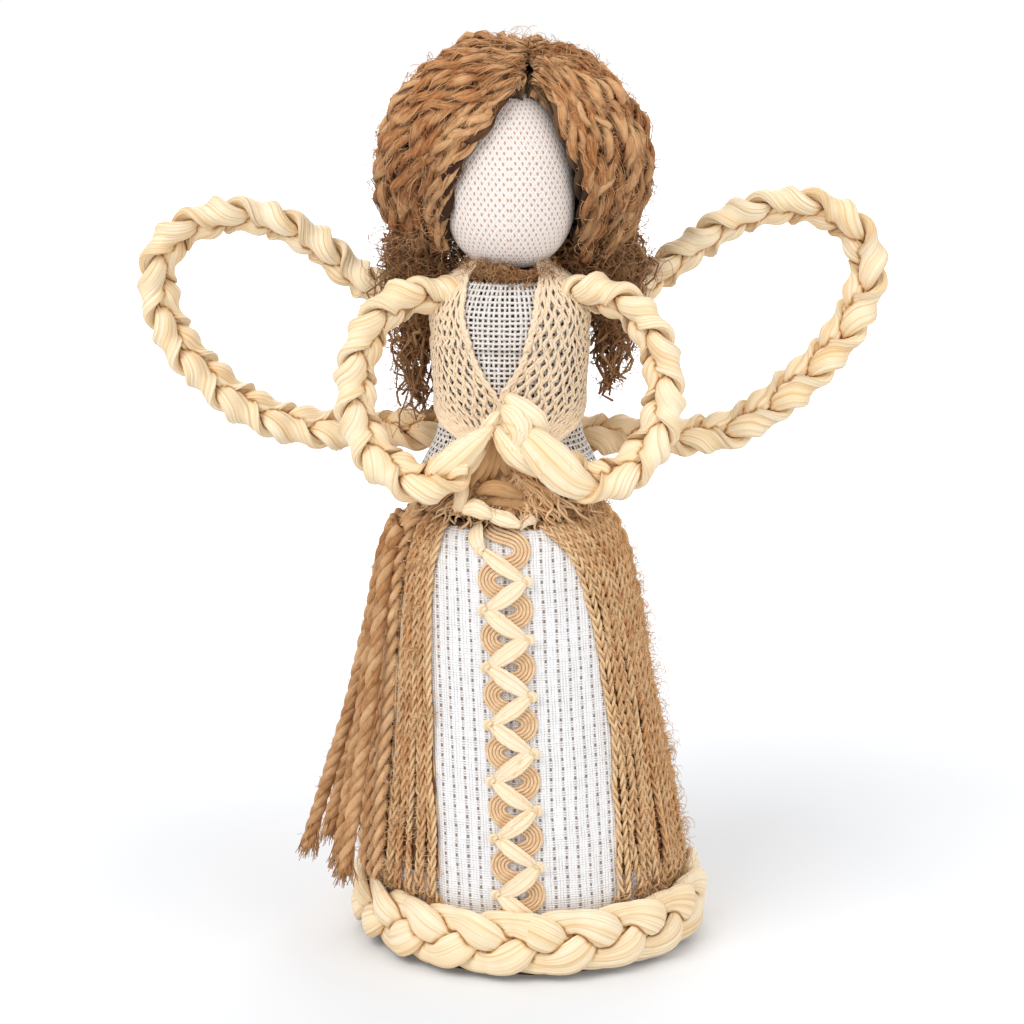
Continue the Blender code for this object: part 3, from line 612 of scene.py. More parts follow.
# threads, plied yarn and stray fibres
def plies(bundle, paths, hint, spread, radius, turnsPerMetre, count, hand, sides=6, phase=0.0,
          uneven=0.10, taper=None, fold=0.0, tone=None, valley=0.75):
    # twists several plies round each path; hand is 1 or -1 for each path, valley is painted shade on the side
    # of each ply that faces the others
    paths = np.asarray(paths, float)
    _, out, wide = frames(paths, hint)
    step = np.linalg.norm(np.diff(paths, axis=1), axis=-1)
    run = np.concatenate([np.zeros((len(paths), 1)), np.cumsum(step, 1)], 1)
    hand = np.broadcast_to(np.asarray(hand, float), len(paths))[:, None]
    fold = np.asarray(fold, float)
    fold = fold if fold.ndim else fold.reshape(1, 1, 1)
    laid = []
    for k in range(count):
        angle = tau * (run * turnsPerMetre * hand + k / count) + phase
        thick = radius * (1 + uneven * wobble(paths.shape[:2] + (1,), (3, 7), 1.0)[..., 0])
        at = paths + (wide * np.cos(angle)[..., None] + out * np.sin(angle)[..., None]) * spread
        inward = dot(ringRound(at, out, sides), unit(paths - at)[:, :, None])[..., 0]
        dark = fold + (1 - fold) * valley * ease((inward + 0.30) / 0.85)
        bundle.tubes(at, thick, sides, hint=out, taper=taper, fold=dark, tone=tone)
        laid.append(at)
    return laid


def hairs(bundle, starts, ways, length, radius, points=7, curl=0.5):
    # short stray fibres that leave a surface and bend
    n = len(starts)
    t = np.linspace(0, 1, points)[None, :, None]
    size = length * (0.4 + 0.9 * chance.random((n, 1, 1)))
    side = unit(chance.normal(0, 1, (n, 1, 3)))
    bend = unit(chance.normal(0, 1, (n, 1, 3)))
    way = unit(ways[:, None] * 0.8 + side * 0.7)
    path = starts[:, None] + size * (way * t + bend * curl * t ** 2 * 0.8)
    path = path + wobble((n, points, 3), (1, 2), 1.0) * size * curl * 0.18 * t
    bundle.tubes(path, radius, 3, hint=unit(bend + 1e-3), taper=1.15 - 0.75 * t[..., 0])


def curls(bundle, starts, ways, length, radius, points=9, loop=0.30, fold=0.0):
    # stray fibres that leave a surface and loop round
    n = len(starts)
    t = np.linspace(0, 1, points)[None, :, None]
    size = length * (0.5 + 0.8 * chance.random((n, 1, 1)))
    side = unit(np.cross(ways, chance.normal(0, 1, (n, 3))))[:, None]
    over = np.cross(unit(ways)[:, None], side)
    turn = tau * (0.45 + 0.75 * chance.random((n, 1, 1))) * t
    looped = (side * np.sin(turn) + over * (1 - np.cos(turn))) * loop
    path = starts[:, None] + size * (ways[:, None] * t * 0.60 + looped)
    bundle.tubes(path, radius, 3, hint=side + 1e-3, taper=1.15 - 0.6 * t[..., 0], fold=fold)


# loose cords at the left: each leaves the skirt beside one yarn of the jute at the back
cords = {"diameter": 0.0044, "plies": 3, "turnsPerMetre": 80, "plySpread": 0.20, "plyRadius": 0.275,
         "sides": 10, "clear": 0.0027, "reach": 0.0140, "yarnCount": 32,
         "yarns": (0.86, 0.922, 0.985, 0.797, 0.735), "reaches": (1.0, .42, .56, .72, .36),
         "drops": ((0, .972), (0, .90), (.08, .75), (.34, .54), (.70, .34), (1, .19)),
         "steps": 12, "rings": 90, "strays": 520, "strayLength": 0.0011, "strayRadius": 0.00007,
         "frays": 60, "frayPoints": 9, "frayFrom": -8, "frayReach": 0.42, "frayDrop": 0.0035,
         "frayRadius": 0.00022, "fraySway": 0.0003}


def cordRoute(index):
    look, points = cords, []
    yarn = int(look["yarnCount"] * look["yarns"][index])
    start, end = backEdges
    for out, drop in look["drops"]:
        height = body["waist"] * drop
        share = (max(height, body["juteFoot"]) - body["juteFoot"]) / (body["juteTop"] - body["juteFoot"])
        low, high = tableAt(start, share, 1), tableAt(end, share, 1)
        degrees = low + (high - low) * (yarn + 0.5) / look["yarnCount"]
        lift = body["cloth"] + body["gap"] * 3 + look["clear"] + look["diameter"] / 2
        points.append(skirtPoint(degrees, height, lift + look["reach"] * look["reaches"][index] * out))
    return smoothPath(points, look["steps"])[0]


def makeCords():
    look = cords
    d, strays = look["diameter"], look["strays"]
    for index in range(len(look["yarns"])):
        path, length = smoothPath(cordRoute(index), look["rings"])
        bundle, frayed = Bundle(), Bundle()
        out = unit(path * (1, 1, 0))
        plies(bundle, path[None], out[None], d * look["plySpread"], d * look["plyRadius"],
              look["turnsPerMetre"], look["plies"], 1, sides=look["sides"], phase=index)
        spots = path[chance.integers(3, look["rings"] - 2, strays)]
        ways = unit(chance.normal(0, 1, (strays, 3)))
        hairs(bundle, spots + ways * d * 0.40, ways, look["strayLength"], look["strayRadius"], curl=1.2)
        cord = bundle.piece("looseCord%d" % (index + 1), cordJute, ("loose_cord_%d" % (index + 1),), "jute")
        n, m = look["frays"], look["frayPoints"]
        t = np.linspace(0, 1, m)[None, :, None]
        spin = chance.random((n, 1, 1)) * tau
        radial = np.concatenate([np.cos(spin), np.sin(spin), np.zeros_like(spin)], -1)
        reach = d * look["frayReach"] * np.sqrt(chance.random((n, 1, 1)))
        start = path[look["frayFrom"]] + radial * reach
        drop = path[-1] - path[look["frayFrom"]]
        drop = drop + np.array((0, 0, -look["frayDrop"])) * chance.random((n, 1, 1))
        fibre = start + drop * t + radial * reach * 0.9 * t ** 2
        fibre = fibre + wobble((n, m, 3), (1, 2), look["fraySway"]) * t
        frayed.tubes(fibre, look["frayRadius"], 3, hint=(0.3, -1, 0.1), taper=1.1 - 0.6 * t[..., 0])
        ends = frayed.piece("cordEnds%d" % (index + 1), cordJute, (), "jute")


makeCords()
print("cords made")

# husk braids
braid = {"swing": 0.270, "wide": 0.228, "lift": 0.200, "thick": 0.200, "sides": 44, "ringsPerRepeat": 44,
         "edgeStep": 0.04, "crease": 0.05, "bulge": 0.30, "edge": 1.05, "cup": 0.10, "gold": 0.34, "wrap": 0}
foldWaves = ((2, .025), (3, .022), (5, .020), (9, .015), (14, .012), (19, .008))


def huskSection(middles, wide, thick, halfWide, halfThick, look, drift, cup):
    # a rolled husk leaf: long ridges, a few sharp creases and one free edge that wanders; dark is painted
    # shade along the creases and under the free edge
    m, sides = len(middles), look["sides"]
    angle = tau * np.arange(sides)[None, :] / sides
    t = np.linspace(0, 1, m)[:, None]
    swell = np.ones((m, sides))
    for wave, size in foldWaves:
        turn = tau * (chance.random() + drift * chance.normal(0, 0.4) * t
                      + 0.08 * np.sin(tau * (chance.integers(2, 6) * t + chance.random())))
        swell = swell + size * np.cos(wave * angle + turn)
    dark = np.zeros((m, sides))
    for _ in range(7):
        at = tau * (chance.random() + drift * chance.normal(0, 0.35) * t
                    + 0.03 * np.sin(tau * (chance.integers(2, 7) * t + chance.random())))
        near = np.abs((angle - at + math.pi) % tau - math.pi)
        live = ease(0.5 + 1.1 * np.sin(tau * (chance.integers(2, 8) * t * drift + chance.random())))
        swell = swell - look["crease"] * np.exp(-(near / 0.10) ** 2) * live
        dark = np.maximum(dark, 0.50 * np.exp(-(near / 0.09) ** 2) * live)
    edge = tau * (chance.random() + drift * chance.normal(0, 0.6) * t)
    roll = ((angle - edge) % tau) / tau
    swell = swell + look["edgeStep"] * (roll - 0.5)
    dark = np.maximum(dark, 0.6 * (roll < 1.2 / sides))
    x = np.sign(np.cos(angle)) * np.abs(np.cos(angle)) ** 0.90
    y = np.sign(np.sin(angle)) * np.abs(np.sin(angle)) ** look["edge"]
    ring = (wide[:, None] * (x * swell)[..., None] * halfWide[:, None, None]
            + thick[:, None] * (y * swell)[..., None] * halfThick[:, None, None])
    curl = np.broadcast_to(cup, (m,)) * halfWide
    ring = ring + thick[:, None] * (x ** 2)[..., None] * curl[:, None, None]
    return middles[:, None] + ring, dark


def huskStrand(stations, width, depth, turns, index, closed, sign, look, trim):
    # plaited flat: over at the edge, under past the middle, and wrap turns the leaf round the edge
    centre, across, out = stations
    m = len(centre)
    theta = tau * (turns * np.arange(m) / (m if closed else m - 1) + index / 3)
    loose = 1 + 0.05 * np.sin(theta * 0.37 + index * 2)
    over, x = (np.sin(2 * theta) + 0.22 * np.sin(4 * theta)) * sign, np.sin(theta)
    middles = (centre + across * (width * look["swing"] * x * loose)[:, None]
               + out * (depth * look["lift"] * over)[:, None])
    along = frames(middles, out, closed)[0]
    lean = np.sin(math.pi / 2 * np.clip(np.cos(theta) * 1.41, -1, 1)) * sign
    lean = math.pi / 2 * (1 - lean) * look["wrap"]
    face = out * np.cos(lean)[:, None] + across * np.sin(lean)[:, None]
    thick = unit(face - along * dot(along, face))
    wide = np.cross(thick, along)
    cup = -look["cup"] * (np.cos(lean) * over + np.sin(lean) * x) / (np.hypot(over, x) + 0.05)
    full = np.abs(x) ** 0.9 if look["wrap"] else np.minimum(1, np.abs(over))
    grow = 1 + 0.08 * np.sin(theta * 0.61 + index * 1.7) + 0.03 * chance.normal()
    bulge = 1 - look["bulge"] * (1 - full)
    halfWide, halfThick = width * look["wide"] * bulge * grow, depth * look["thick"] * bulge
    if trim:
        ends = ease(np.minimum(np.arange(m), m - 1 - np.arange(m)) / (m * trim))
        halfWide, halfThick = halfWide * (0.55 + 0.45 * ends), halfThick * (0.55 + 0.45 * ends)
    drift = 0.0 if closed else 1.0
    rings, dark = huskSection(middles, wide, thick, halfWide, halfThick, look, drift, cup)
    # painted shade: where a strand narrows to dive under the next it is darkened towards gold
    return rings, np.maximum(dark, look["gold"] * (1 - full)[:, None] ** 1.5)


def shadeContacts(strands, closed, reach=0.0011):
    # painted shade: the straw is darkened to gold where one leaf dives under the next
    trees = []
    for rings, _ in strands:
        m, sides = rings.shape[:2]
        index = np.arange(m * sides).reshape(m, sides)
        ahead = np.roll(index, -1, 0)
        quads = np.stack([index, np.roll(index, -1, 1), np.roll(ahead, -1, 1), ahead], -1)
        quads = quads if closed else quads[:-1]
        trees.append(BVHTree.FromPolygons(rings.reshape(-1, 3).tolist(), quads.reshape(-1, 4).tolist()))
    shaded = []
    for k, (rings, dark) in enumerate(strands):
        near = np.full(dark.size, reach)
        for tree in trees[:k] + trees[k + 1:]:
            for i, spot in enumerate(rings.reshape(-1, 3).tolist()):
                found = tree.find_nearest(spot, reach)[3]
                if found is not None and found < near[i]:
                    near[i] = found
        touch = ease(1 - near / reach).reshape(dark.shape)
        shaded.append((rings, np.minimum(1, dark * 0.8 + 0.95 * touch ** 1.3)))
    return shaded


def stationsAlong(points, facing, repeat, lean):
    # middle line, direction across and direction out of a braid, turned by lean degrees
    length = smoothPath(points, 200)[1]
    turns = length / repeat
    path = smoothPath(points, round(turns * braid["ringsPerRepeat"]))[0]
    _, out, wide = frames(path, facing)
    lean = math.radians(lean)
    return (path, wide * math.cos(lean) - out * math.sin(lean),
            out * math.cos(lean) + wide * math.sin(lean)), turns


def makeBraid(stations, width, depth, turns, closed, sign, look, word, node, trim=0.0, toneLevel=None):
    strands = [huskStrand(stations, width, depth, turns, k, closed, sign, look, trim) for k in range(3)]
    for k, (rings, dark) in enumerate(shadeContacts(strands, closed)):
        bundle = Bundle()
        bundle.grid(rings[None], along=closed, fold=dark[None], tone=toneLevel)
        bundle.piece("%sStrand%d" % (word, k + 1), husk, ("%s_strand_%d" % (node, k + 1),), "husk")


hem = {"width": 0.0200, "depth": 0.0094, "seat": 0.537, "middle": 0.535, "repeats": 6, "ringsPerRepeat": 48}


def makeHem():
    count = hem["repeats"] * hem["ringsPerRepeat"]
    angle = tau * np.arange(count) / count
    out = np.stack([np.sin(angle), -np.cos(angle), angle * 0], -1)
    radius = body["skirtRadius"] + body["gap"] + hem["depth"] * hem["seat"]
    centre = out * radius + (0, 0, hem["width"] * hem["middle"])
    across = np.broadcast_to((0.0, 0.0, 1.0), out.shape)
    makeBraid((centre, across, out), hem["width"], hem["depth"], hem["repeats"], True, -1, braid,
              "hem", "hem")


armBraid = dict(braid, swing=0.245, wide=0.315, lift=0.225, thick=0.205, bulge=0.45, edge=1.0, wrap=1,
                cup=0.22)
arm = {"lean": 50, "reach": 0.0404, "foot": 0.1311, "rise": 0.0478, "forward": 0.0270, "width": 0.0144,
       "depth": 0.0094, "repeat": 0.0375, "trim": 0.06,
       "route": ((.20, .0, .84), (.40, .16, .97), (.70, .34, .96), (.90, .48, .82), (1.0, .60, .58),
                 (.98, .72, .31), (.83, .84, .10), (.56, .95, 0), (.27, 1.0, .12))}


def makeArm(side, word):
    points = [(side * arm["reach"] * a - body["lean"], -arm["forward"] * f, arm["foot"] + arm["rise"] * h)
              for a, f, h in arm["route"]]
    stations, turns = stationsAlong(points, (0, -1, 0), arm["repeat"], -side * arm["lean"])
    makeBraid(stations, arm["width"], arm["depth"], turns, False, 1, armBraid, "arm" + word,
              "arm_" + word.lower(), trim=arm["trim"])


wing = {"lean": 50, "reach": 0.0985, "foot": 0.1349, "rise": 0.0620, "sweep": 0.0084, "width": 0.0140,
        "depth": 0.0096, "repeat": 0.0425, "lace": 0.0012, "strand": 0.0092, "sunk": 0.28,
        "shadeTo": 0.030, "shadeFade": 0.035,
        "Left": ((.02, .52), (.20, .56), (.41, .68), (.535, .84), (.665, .95), (.80, .97), (.93, .89),
                 (.985, .75), (.985, .59), (.94, .41), (.86, .26), (.77, .135), (.62, .035),
                 (.48, .01), (.25, .02), (.02, .05)),
        "Right": ((.02, .52), (.20, .56), (.37, .67), (.505, .825), (.645, .97), (.81, 1.02),
                  (.95, .93), (1.005, .73), (.945, .46), (.82, .23), (.68, .05), (.54, -.02),
                  (.25, 0), (.02, .05))}
# depth of the wings where they cross the back, outside the torso, the cloth and the lace
wingRoot = body["torsoHalfDepth"] + body["cloth"] + wing["lace"] + wing["strand"] * wing["sunk"]


def makeWing(side, word):
    points = []
    for across, height in wing[word]:
        sweep = wing["sweep"] * min(1.0, max(0.0, across / 0.3 - 0.4))
        points.append((side * wing["reach"] * across - body["lean"], wingRoot + sweep,
                       wing["foot"] + wing["rise"] * height))
    stations, turns = stationsAlong(points, (0, -1, 0), wing["repeat"], -side * wing["lean"])
    path = stations[0]
    # painted shade: near the body and low down, where the wing runs behind the torso, the tone goes past 1 to
    # mix in the darker tone
    nearBody = 1 - ease((np.abs(path[:, 0] + body["lean"]) - wing["shadeTo"]) / wing["shadeFade"])
    toneLevel = 0.35 + 1.6 * nearBody * (path[:, 2] < wing["foot"] + wing["rise"] * 0.3)
    makeBraid(stations, wing["width"], wing["depth"], turns, False, -side, armBraid, "wing" + word,
              "wing_" + word.lower(), toneLevel=toneLevel[None, :, None])


makeHem()
for make in (makeArm, makeWing):
    make(-1, "Left")
    make(1, "Right")
print("braids made")

# skirt: cloth, trim and lacing
skirt = {"from": -75, "to": 75, "rows": 60, "columns": 90, "clear": 0.0002, "thin": 0.4, "thinTo": 0.0165,
         "flatTo": 0.019, "fade": 0.004, "ripples": ((0.00012, 0.9, 130), (0.00010, 0.37, 0)),
         "unroll": 0.0011}


def makeSkirtCloth():
    look = skirt
    degrees = np.linspace(look["from"], look["to"], look["columns"])[None, :]
    height = np.linspace(body["hidden"], body["rim"], look["rows"])[:, None]
    ripple = sum(size * np.sin(degrees * turn + height * climb) for size, turn, climb in look["ripples"])
    ripple = ripple * ease((height - look["flatTo"]) / look["fade"])
    full = look["thin"] + (1 - look["thin"]) * ease((height - look["thinTo"]) / look["fade"])
    outer = skirtPoint(degrees, height, body["gap"] + body["cloth"] * full + look["clear"] + ripple)
    inner = skirtPoint(degrees, height, body["gap"] + ripple)
    radius = bellRadius(height) + look["unroll"]
    bundle = Bundle()
    bundle.shell(outer, inner, np.stack([np.radians(degrees) * radius, height + 0 * degrees], -1))
    cloth = bundle.piece("skirtCloth", canvas, ("skirt_cloth",), "white_cloth", weld=True)


gimp = {"under": 0.0038, "top": 0.1154, "repeat": 0.0150, "halfWide": 0.0046, "bend": 0.0006, "cords": 5,
        "cordStep": 0.00088, "cordRadius": 0.00047, "rings": 340, "clear": 0.0010, "crown": 0.00035,
        "uneven": 0.00012, "strays": 420, "strayReach": 0.0058, "strayLift": 0.0014,
        "strayLength": 0.0016, "strayRadius": 0.00004}
lacing = {"wide": 0.0047, "thick": 0.00120, "reach": 0.0049, "sides": 24, "edgeStep": 0.08, "crease": 0.10,
          "edge": 1.0, "shift": 0.15, "clear": 0.0022, "bow": 0.0004, "loopThick": 0.0010,
          "lifts": ((0, -.0004), (.25, .0005), (.5, .0009), (.75, .0006), (1, -.0002)),
          "widths": (.50, .82, 1.0, 1.0, .92, .72, .42),
          "loop": ((-.0004, .0012, .0006), (.0007, .0004, .0003), (.0008, -.0007, -.0002),
                   (.0003, -.0015, -.0010)),
          "loopWidths": (.0014, .0024, .0023, .0014)}


def trimPoint(across, height, lift):
    angle = np.degrees((across - body["lean"] * 0.35) / bellRadius(height))
    return skirtPoint(angle, height, lift)


def makeGimp():
    # cords side by side that swing from edge to edge down the front
    bundle, look = Bundle(), gimp
    drop = look["top"] + look["under"] - body["hidden"]
    t = np.linspace(0, drop, look["rings"])
    turn = tau * (t - look["under"]) / look["repeat"] + tau * (0.5 - lacing["shift"])
    x = -look["halfWide"] * np.cos(turn)
    z = look["top"] + look["under"] - t - look["bend"] * np.sin(2 * turn)
    way = unit(np.stack([np.gradient(x), np.gradient(z)], -1))
    for k in range(look["cords"]):
        off = (k - (look["cords"] - 1) / 2) * look["cordStep"]
        height = np.clip(z + way[:, 0] * off, body["hidden"], look["top"] + look["under"] + body["gap"])
        lift = (body["cloth"] + look["clear"] + look["crown"] * np.abs(np.sin(turn))
                + look["uneven"] * (k % 2))
        path = trimPoint(x - way[:, 1] * off, height, lift)
        bundle.tubes(path[None], look["cordRadius"], 6, hint=unit(path * (1, 1, 0))[None])
    n = look["strays"]
    spots = chance.random(n) * drop
    side = chance.random(n) * 2 - 1
    start = trimPoint(side * look["strayReach"], look["top"] - spots, body["cloth"] + look["strayLift"])
    ways = unit(unit(start * (1, 1, 0)) * 0.4 + chance.normal(0, 0.8, (n, 3)))
    hairs(bundle, start, ways, look["strayLength"], look["strayRadius"], points=5)
    bundle.piece("trimGimp", gimpThread, ("trim_gimp",), "gimp")


def leaf(bundle, points, widths, thickness, facing, look, rings=22, cup=0.15, twist=0.0, dark=0.0,
         fray=0.0, toneLevel=None):
    # a folded strip of straw along a route, with its widths evenly spaced along it
    path = smoothPath(points, rings - 1)[0]
    along, out, wide = frames(path, facing)
    t = np.linspace(0, 1, rings)
    half = np.interp(t, np.linspace(0, 1, len(widths)), widths) / 2
    half = np.convolve(np.pad(half, 1, mode="edge"), (0.25, 0.5, 0.25), "valid")
    turn = (twist * (t - 0.5))[:, None]
    across = wide * np.cos(turn) + out * np.sin(turn)
    through = out * np.cos(turn) - wide * np.sin(turn)
    deep = thickness / 2 * (0.30 + 0.70 * half / half.max())
    ring, shade = huskSection(path, across, through, half, deep, look, 1.0, cup)
    if fray:
        ragged = 1 + fray * chance.normal(0, 1, (1, look["sides"], 1)) * (t[:, None, None] > 0.82)
        ring = path[:, None] + (ring - path[:, None]) * ragged
        ring[-1] += along[-1] * chance.normal(0, fray * half.max(), (look["sides"], 1))
    # painted shade: both ends of the leaf, where they tuck under, are darkened by dark
    shade = np.maximum(shade, dark * ease(1 - np.minimum(t, 1 - t) / 0.12)[:, None])
    bundle.grid(ring[None], fold=shade[None], tone=toneLevel)


def makeLacing():
    # one straw leaf from edge to edge for each half repeat of the gimp, with a small loop at its foot
    bundle, look = Bundle(), lacing
    half, reach = gimp["repeat"] / 2, look["reach"]
    base = body["cloth"] + look["clear"]
    first, top = gimp["top"] - look["shift"] * gimp["repeat"] + 2 * half, gimp["top"] + gimp["under"]
    for i in range(int((first - body["hidden"]) / half)):
        high = first - i * half
        low = max(high - half, body["hidden"] + 0.0002)
        side = -1 if i % 2 == 0 else 1
        start = side * reach
        if high > top:
            start = start * (1 - 2 * (first - top) / half)
            high = top
        points, bow = [], chance.normal(0, look["bow"])
        for s, lift in look["lifts"]:
            height = high + (low - high) * s + bow * math.sin(math.pi * s)
            points.append(trimPoint(start + (-side * reach - start) * s, np.array(height), base + lift))
        out = unit(points[2] * (1, 1, 0))
        wide = look["wide"] * (1 + 0.08 * chance.normal())
        leaf(bundle, points, [wide * w for w in look["widths"]], look["thick"], out, look,
             rings=20, cup=0.18, twist=chance.normal(0, 0.25), dark=0.45)
        loop = [trimPoint(-side * (reach + a), np.array(low + h), base + l) for a, h, l in look["loop"]]
        leaf(bundle, loop, look["loopWidths"], look["loopThick"], out, look, rings=10, dark=0.2)
    bundle.piece("trimLacing", raffia, ("trim_lacing",), "raffia")


# overskirt: jute yarns side by side; each edge runs from foot to top as (share of height, degrees)
overskirt = {"right": (((0, 34), (.2, 37.5), (.4, 40.5), (.6, 40.5), (.8, 38), (.9, 34), (.96, 26), (1, 14)),
                       ((0, 98), (1, 98))),
             "left": (((0, -61), (.4, -61.5), (.8, -64), (1, -68)),
                      ((0, -32), (.2, -33.5), (.4, -37), (.6, -40.5), (.8, -42.5), (1, -42))),
             "back": backEdges, "smoothing": 5, "foot": 0.0025, "footUneven": 0.0030, "topOver": 0.0004,
             "clear": 0.0006, "flare": 0.0010, "strayLength": 0.0048, "strayRadius": 0.000080, "frays": 9,
             "frayLength": 0.0042, "frayRadius": 0.00010, "columns": 60, "rows": 30, "inset": 1.6,
             "topInset": 7, "outer": 0.0019, "inner": 0.0015}
fineYarn = {"spread": 0.00042, "radius": 0.00043, "turnsPerMetre": 170, "rings": 126, "sides": 6}
thickYarn = {"spread": 0.00088, "radius": 0.00104, "turnsPerMetre": 100, "rings": 84, "sides": 7}


def makePanel(word, count, yarn, nodes, fuzz):
    look, rings, fine = overskirt, yarn["rings"], yarn is fineYarn
    share = np.linspace(0, 1, rings)
    top = body["rim"] + look["topOver"]
    low, high = [smoothed(tableAt(edge, share, 1), look["smoothing"]) for edge in look[word]]
    degrees = low[None] + (high - low)[None] * ((np.arange(count) + 0.5) / count)[:, None]
    foot = body["hidden"] + look["foot"] + look["footUneven"] * chance.random(count)[:, None] ** 2
    height = foot + (top - foot) * share[None]
    sway = wobble((count, rings, 1), (1, 2, 4), 1.0)[..., 0]
    degrees = degrees + sway * 0.85 * (1 - 0.5 * share)
    degrees = degrees + wobble((count, rings, 1), (11, 17, 25), 0.50)[..., 0] * fine
    wide = 2 * (yarn["spread"] + yarn["radius"])
    lift = (body["cloth"] + look["clear"] + wide * 0.42 + wide * 0.10 * sway
            + 0.0004 * ((np.arange(count) % 2)[:, None]) + look["flare"] * (1 - share)[None] ** 4)
    lift = lift * (0.35 + 0.65 * ease((height - 0.0175) / 0.004))
    paths = skirtPoint(degrees, height, lift)[:, ::-1]
    out = unit(paths * (1, 1, 0))
    bundle, stray, shadeSheet = Bundle(), Bundle(), Bundle()
    hand = np.where(np.arange(count) % 2, 1, -1) if fine else 1
    t = np.linspace(0, 1, rings)[None]
    loose = 1 + 0.9 * ease((t - 0.93) / 0.07)
    tone = chance.random(count)[:, None, None]
    plies(bundle, paths, out, yarn["spread"] * loose[..., None], yarn["radius"], yarn["turnsPerMetre"], 2,
          hand, sides=yarn["sides"], phase=chance.random(count)[:, None] * tau * 0.15, tone=tone,
          taper=(1 - 0.35 * ease((t - 0.95) / 0.05)), valley=0.42)
    bundle.piece("overskirt" + word.title(), jute, nodes, "jute")
    # stray fibres on the yarns, and frayed ends at the foot
    pick, at = chance.integers(0, count, fuzz), chance.integers(2, rings - 2, fuzz)
    spot, way = paths[pick, at], out[pick, at]
    down = unit(paths[pick, at + 2] - spot)
    ways = unit(way * 0.35 + down * 0.8 + chance.normal(0, 1, (fuzz, 3)) * 0.55)
    curls(stray, spot + way * wide * 0.42, ways, look["strayLength"], look["strayRadius"], points=7)
    pick = np.repeat(np.arange(count), look["frays"])
    spot = paths[pick, -3] + chance.normal(0, wide * 0.28, (len(pick), 3))
    ways = np.array((0, 0, -1.0)) + out[pick, -3] * 0.35 + chance.normal(0, 0.35, (len(pick), 3))
    hairs(stray, spot, unit(ways), look["frayLength"], look["frayRadius"], points=6)
    strays = stray.piece("overskirt%sFibres" % word.title(), jute, (), "jute")
    # a thin sheet behind the yarns, painted dark as the shade in the gaps between them
    height = np.linspace(body["juteFoot"] + 0.001, top, look["rows"])[:, None]
    part = (height - body["juteFoot"]) / (body["juteTop"] - body["juteFoot"])
    inset = look["inset"] + look["topInset"] * ease((part - 0.84) / 0.08)
    low, high = np.interp(part, share, low) + inset, np.interp(part, share, high) - look["inset"]
    degrees = low + (high - low) * np.linspace(0, 1, look["columns"])[None]
    outer, inner = skirtPoint(degrees, height, look["outer"]), skirtPoint(degrees, height, look["inner"])
    uvAt = np.stack([np.radians(degrees) * bellRadius(height), height + 0 * degrees], -1)
    shadeSheet.shell(outer, inner, uvAt, fold=0.9)
    sheet = shadeSheet.piece("overskirt%sBacking" % word.title(), jute, (), "jute", weld=True)


makeSkirtCloth()
makeGimp()
makeLacing()
makePanel("right", 26, fineYarn, ("overskirt_right",), 1200)
makePanel("left", 10, fineYarn, ("overskirt_left",), 700)
makePanel("back", 30, thickYarn, ("overskirt_back",), 850)
print("skirt made")


# body, bodice and lace
def makeTorso():
    height = np.linspace(body["torsoFoot"], body["torsoTop"], 60)[:, None]
    degrees = np.arange(0, 360, 6)[None, :]
    dents = 0.0002 * np.sin(np.radians(degrees) * 5 + height * 300) * np.sin(height * 700)
    bundle = Bundle()
    bundle.grid(torsoPoint(degrees, height, dents)[None])
    core = bundle.piece("torsoCore", stuffing, ("torso",), "stuffing")


bodice = {"warps": 88, "wefts": 41, "threadWide": 0.00040, "threadFlat": 0.5, "weave": 0.00020,
          "top": 0.1818, "under": 0.001}


def makeBodice():
    # plain weave of single threads, each passing over and under in turn
    look, bundle = bodice, Bundle()
    low, high = body["bodiceFoot"] - look["under"], look["top"]
    rows, columns = look["wefts"], look["warps"]
    lift = body["cloth"] * 0.5
    for k in range(2):
        t = np.linspace(0, 1, rows * 2 + 1)
        pick = np.arange(k, columns, 2)
        degrees = (pick * 360 / columns)[:, None] + wobble((len(pick), len(t), 1), (2, 5), 0.35)[..., 0]
        height = low + (high - low) * t[None] + 0 * degrees
        over = np.cos(math.pi * (t * rows) + math.pi * k)[None] * look["weave"]
        path = bodicePoint(degrees, height, lift + over)
        bundle.tubes(path, look["threadWide"], 4, hint=fromBody(path), flat=look["threadFlat"],
                     taper=0.85 + 0.3 * chance.random((len(pick), 1)))
    for k in range(2):
        pick = np.arange(k, rows, 2)
        t = np.linspace(0, 1, columns * 2 + 1)[:-1]
        degrees = 360 * t[None] + 0 * pick[:, None]
        height = (low + (high - low) * (pick + 0.5) / rows)[:, None]
        height = height + wobble((len(pick), len(t), 1), (1, 3), 0.00009)[..., 0]
        over = np.cos(math.pi * t * columns + math.pi * k)[None] * look["weave"]
        path = bodicePoint(degrees, height, lift - over)
        radial = fromBody(path)
        wide = np.cross(radial, unit(np.roll(path, -1, 1) - np.roll(path, 1, 1)))
        turn = tau * np.arange(4) / 4
        size = look["threadWide"] * (0.85 + 0.3 * chance.random((len(pick), 1, 1, 1)))
        ring = (wide[:, :, None] * np.cos(turn)[None, None, :, None]
                - radial[:, :, None] * np.sin(turn)[None, None, :, None] * look["threadFlat"]) * size
        bundle.grid(path[:, :, None] + ring, along=True)
    cloth = bundle.piece("bodiceCloth", whiteThread, ("bodice_cloth",), "white_cloth")


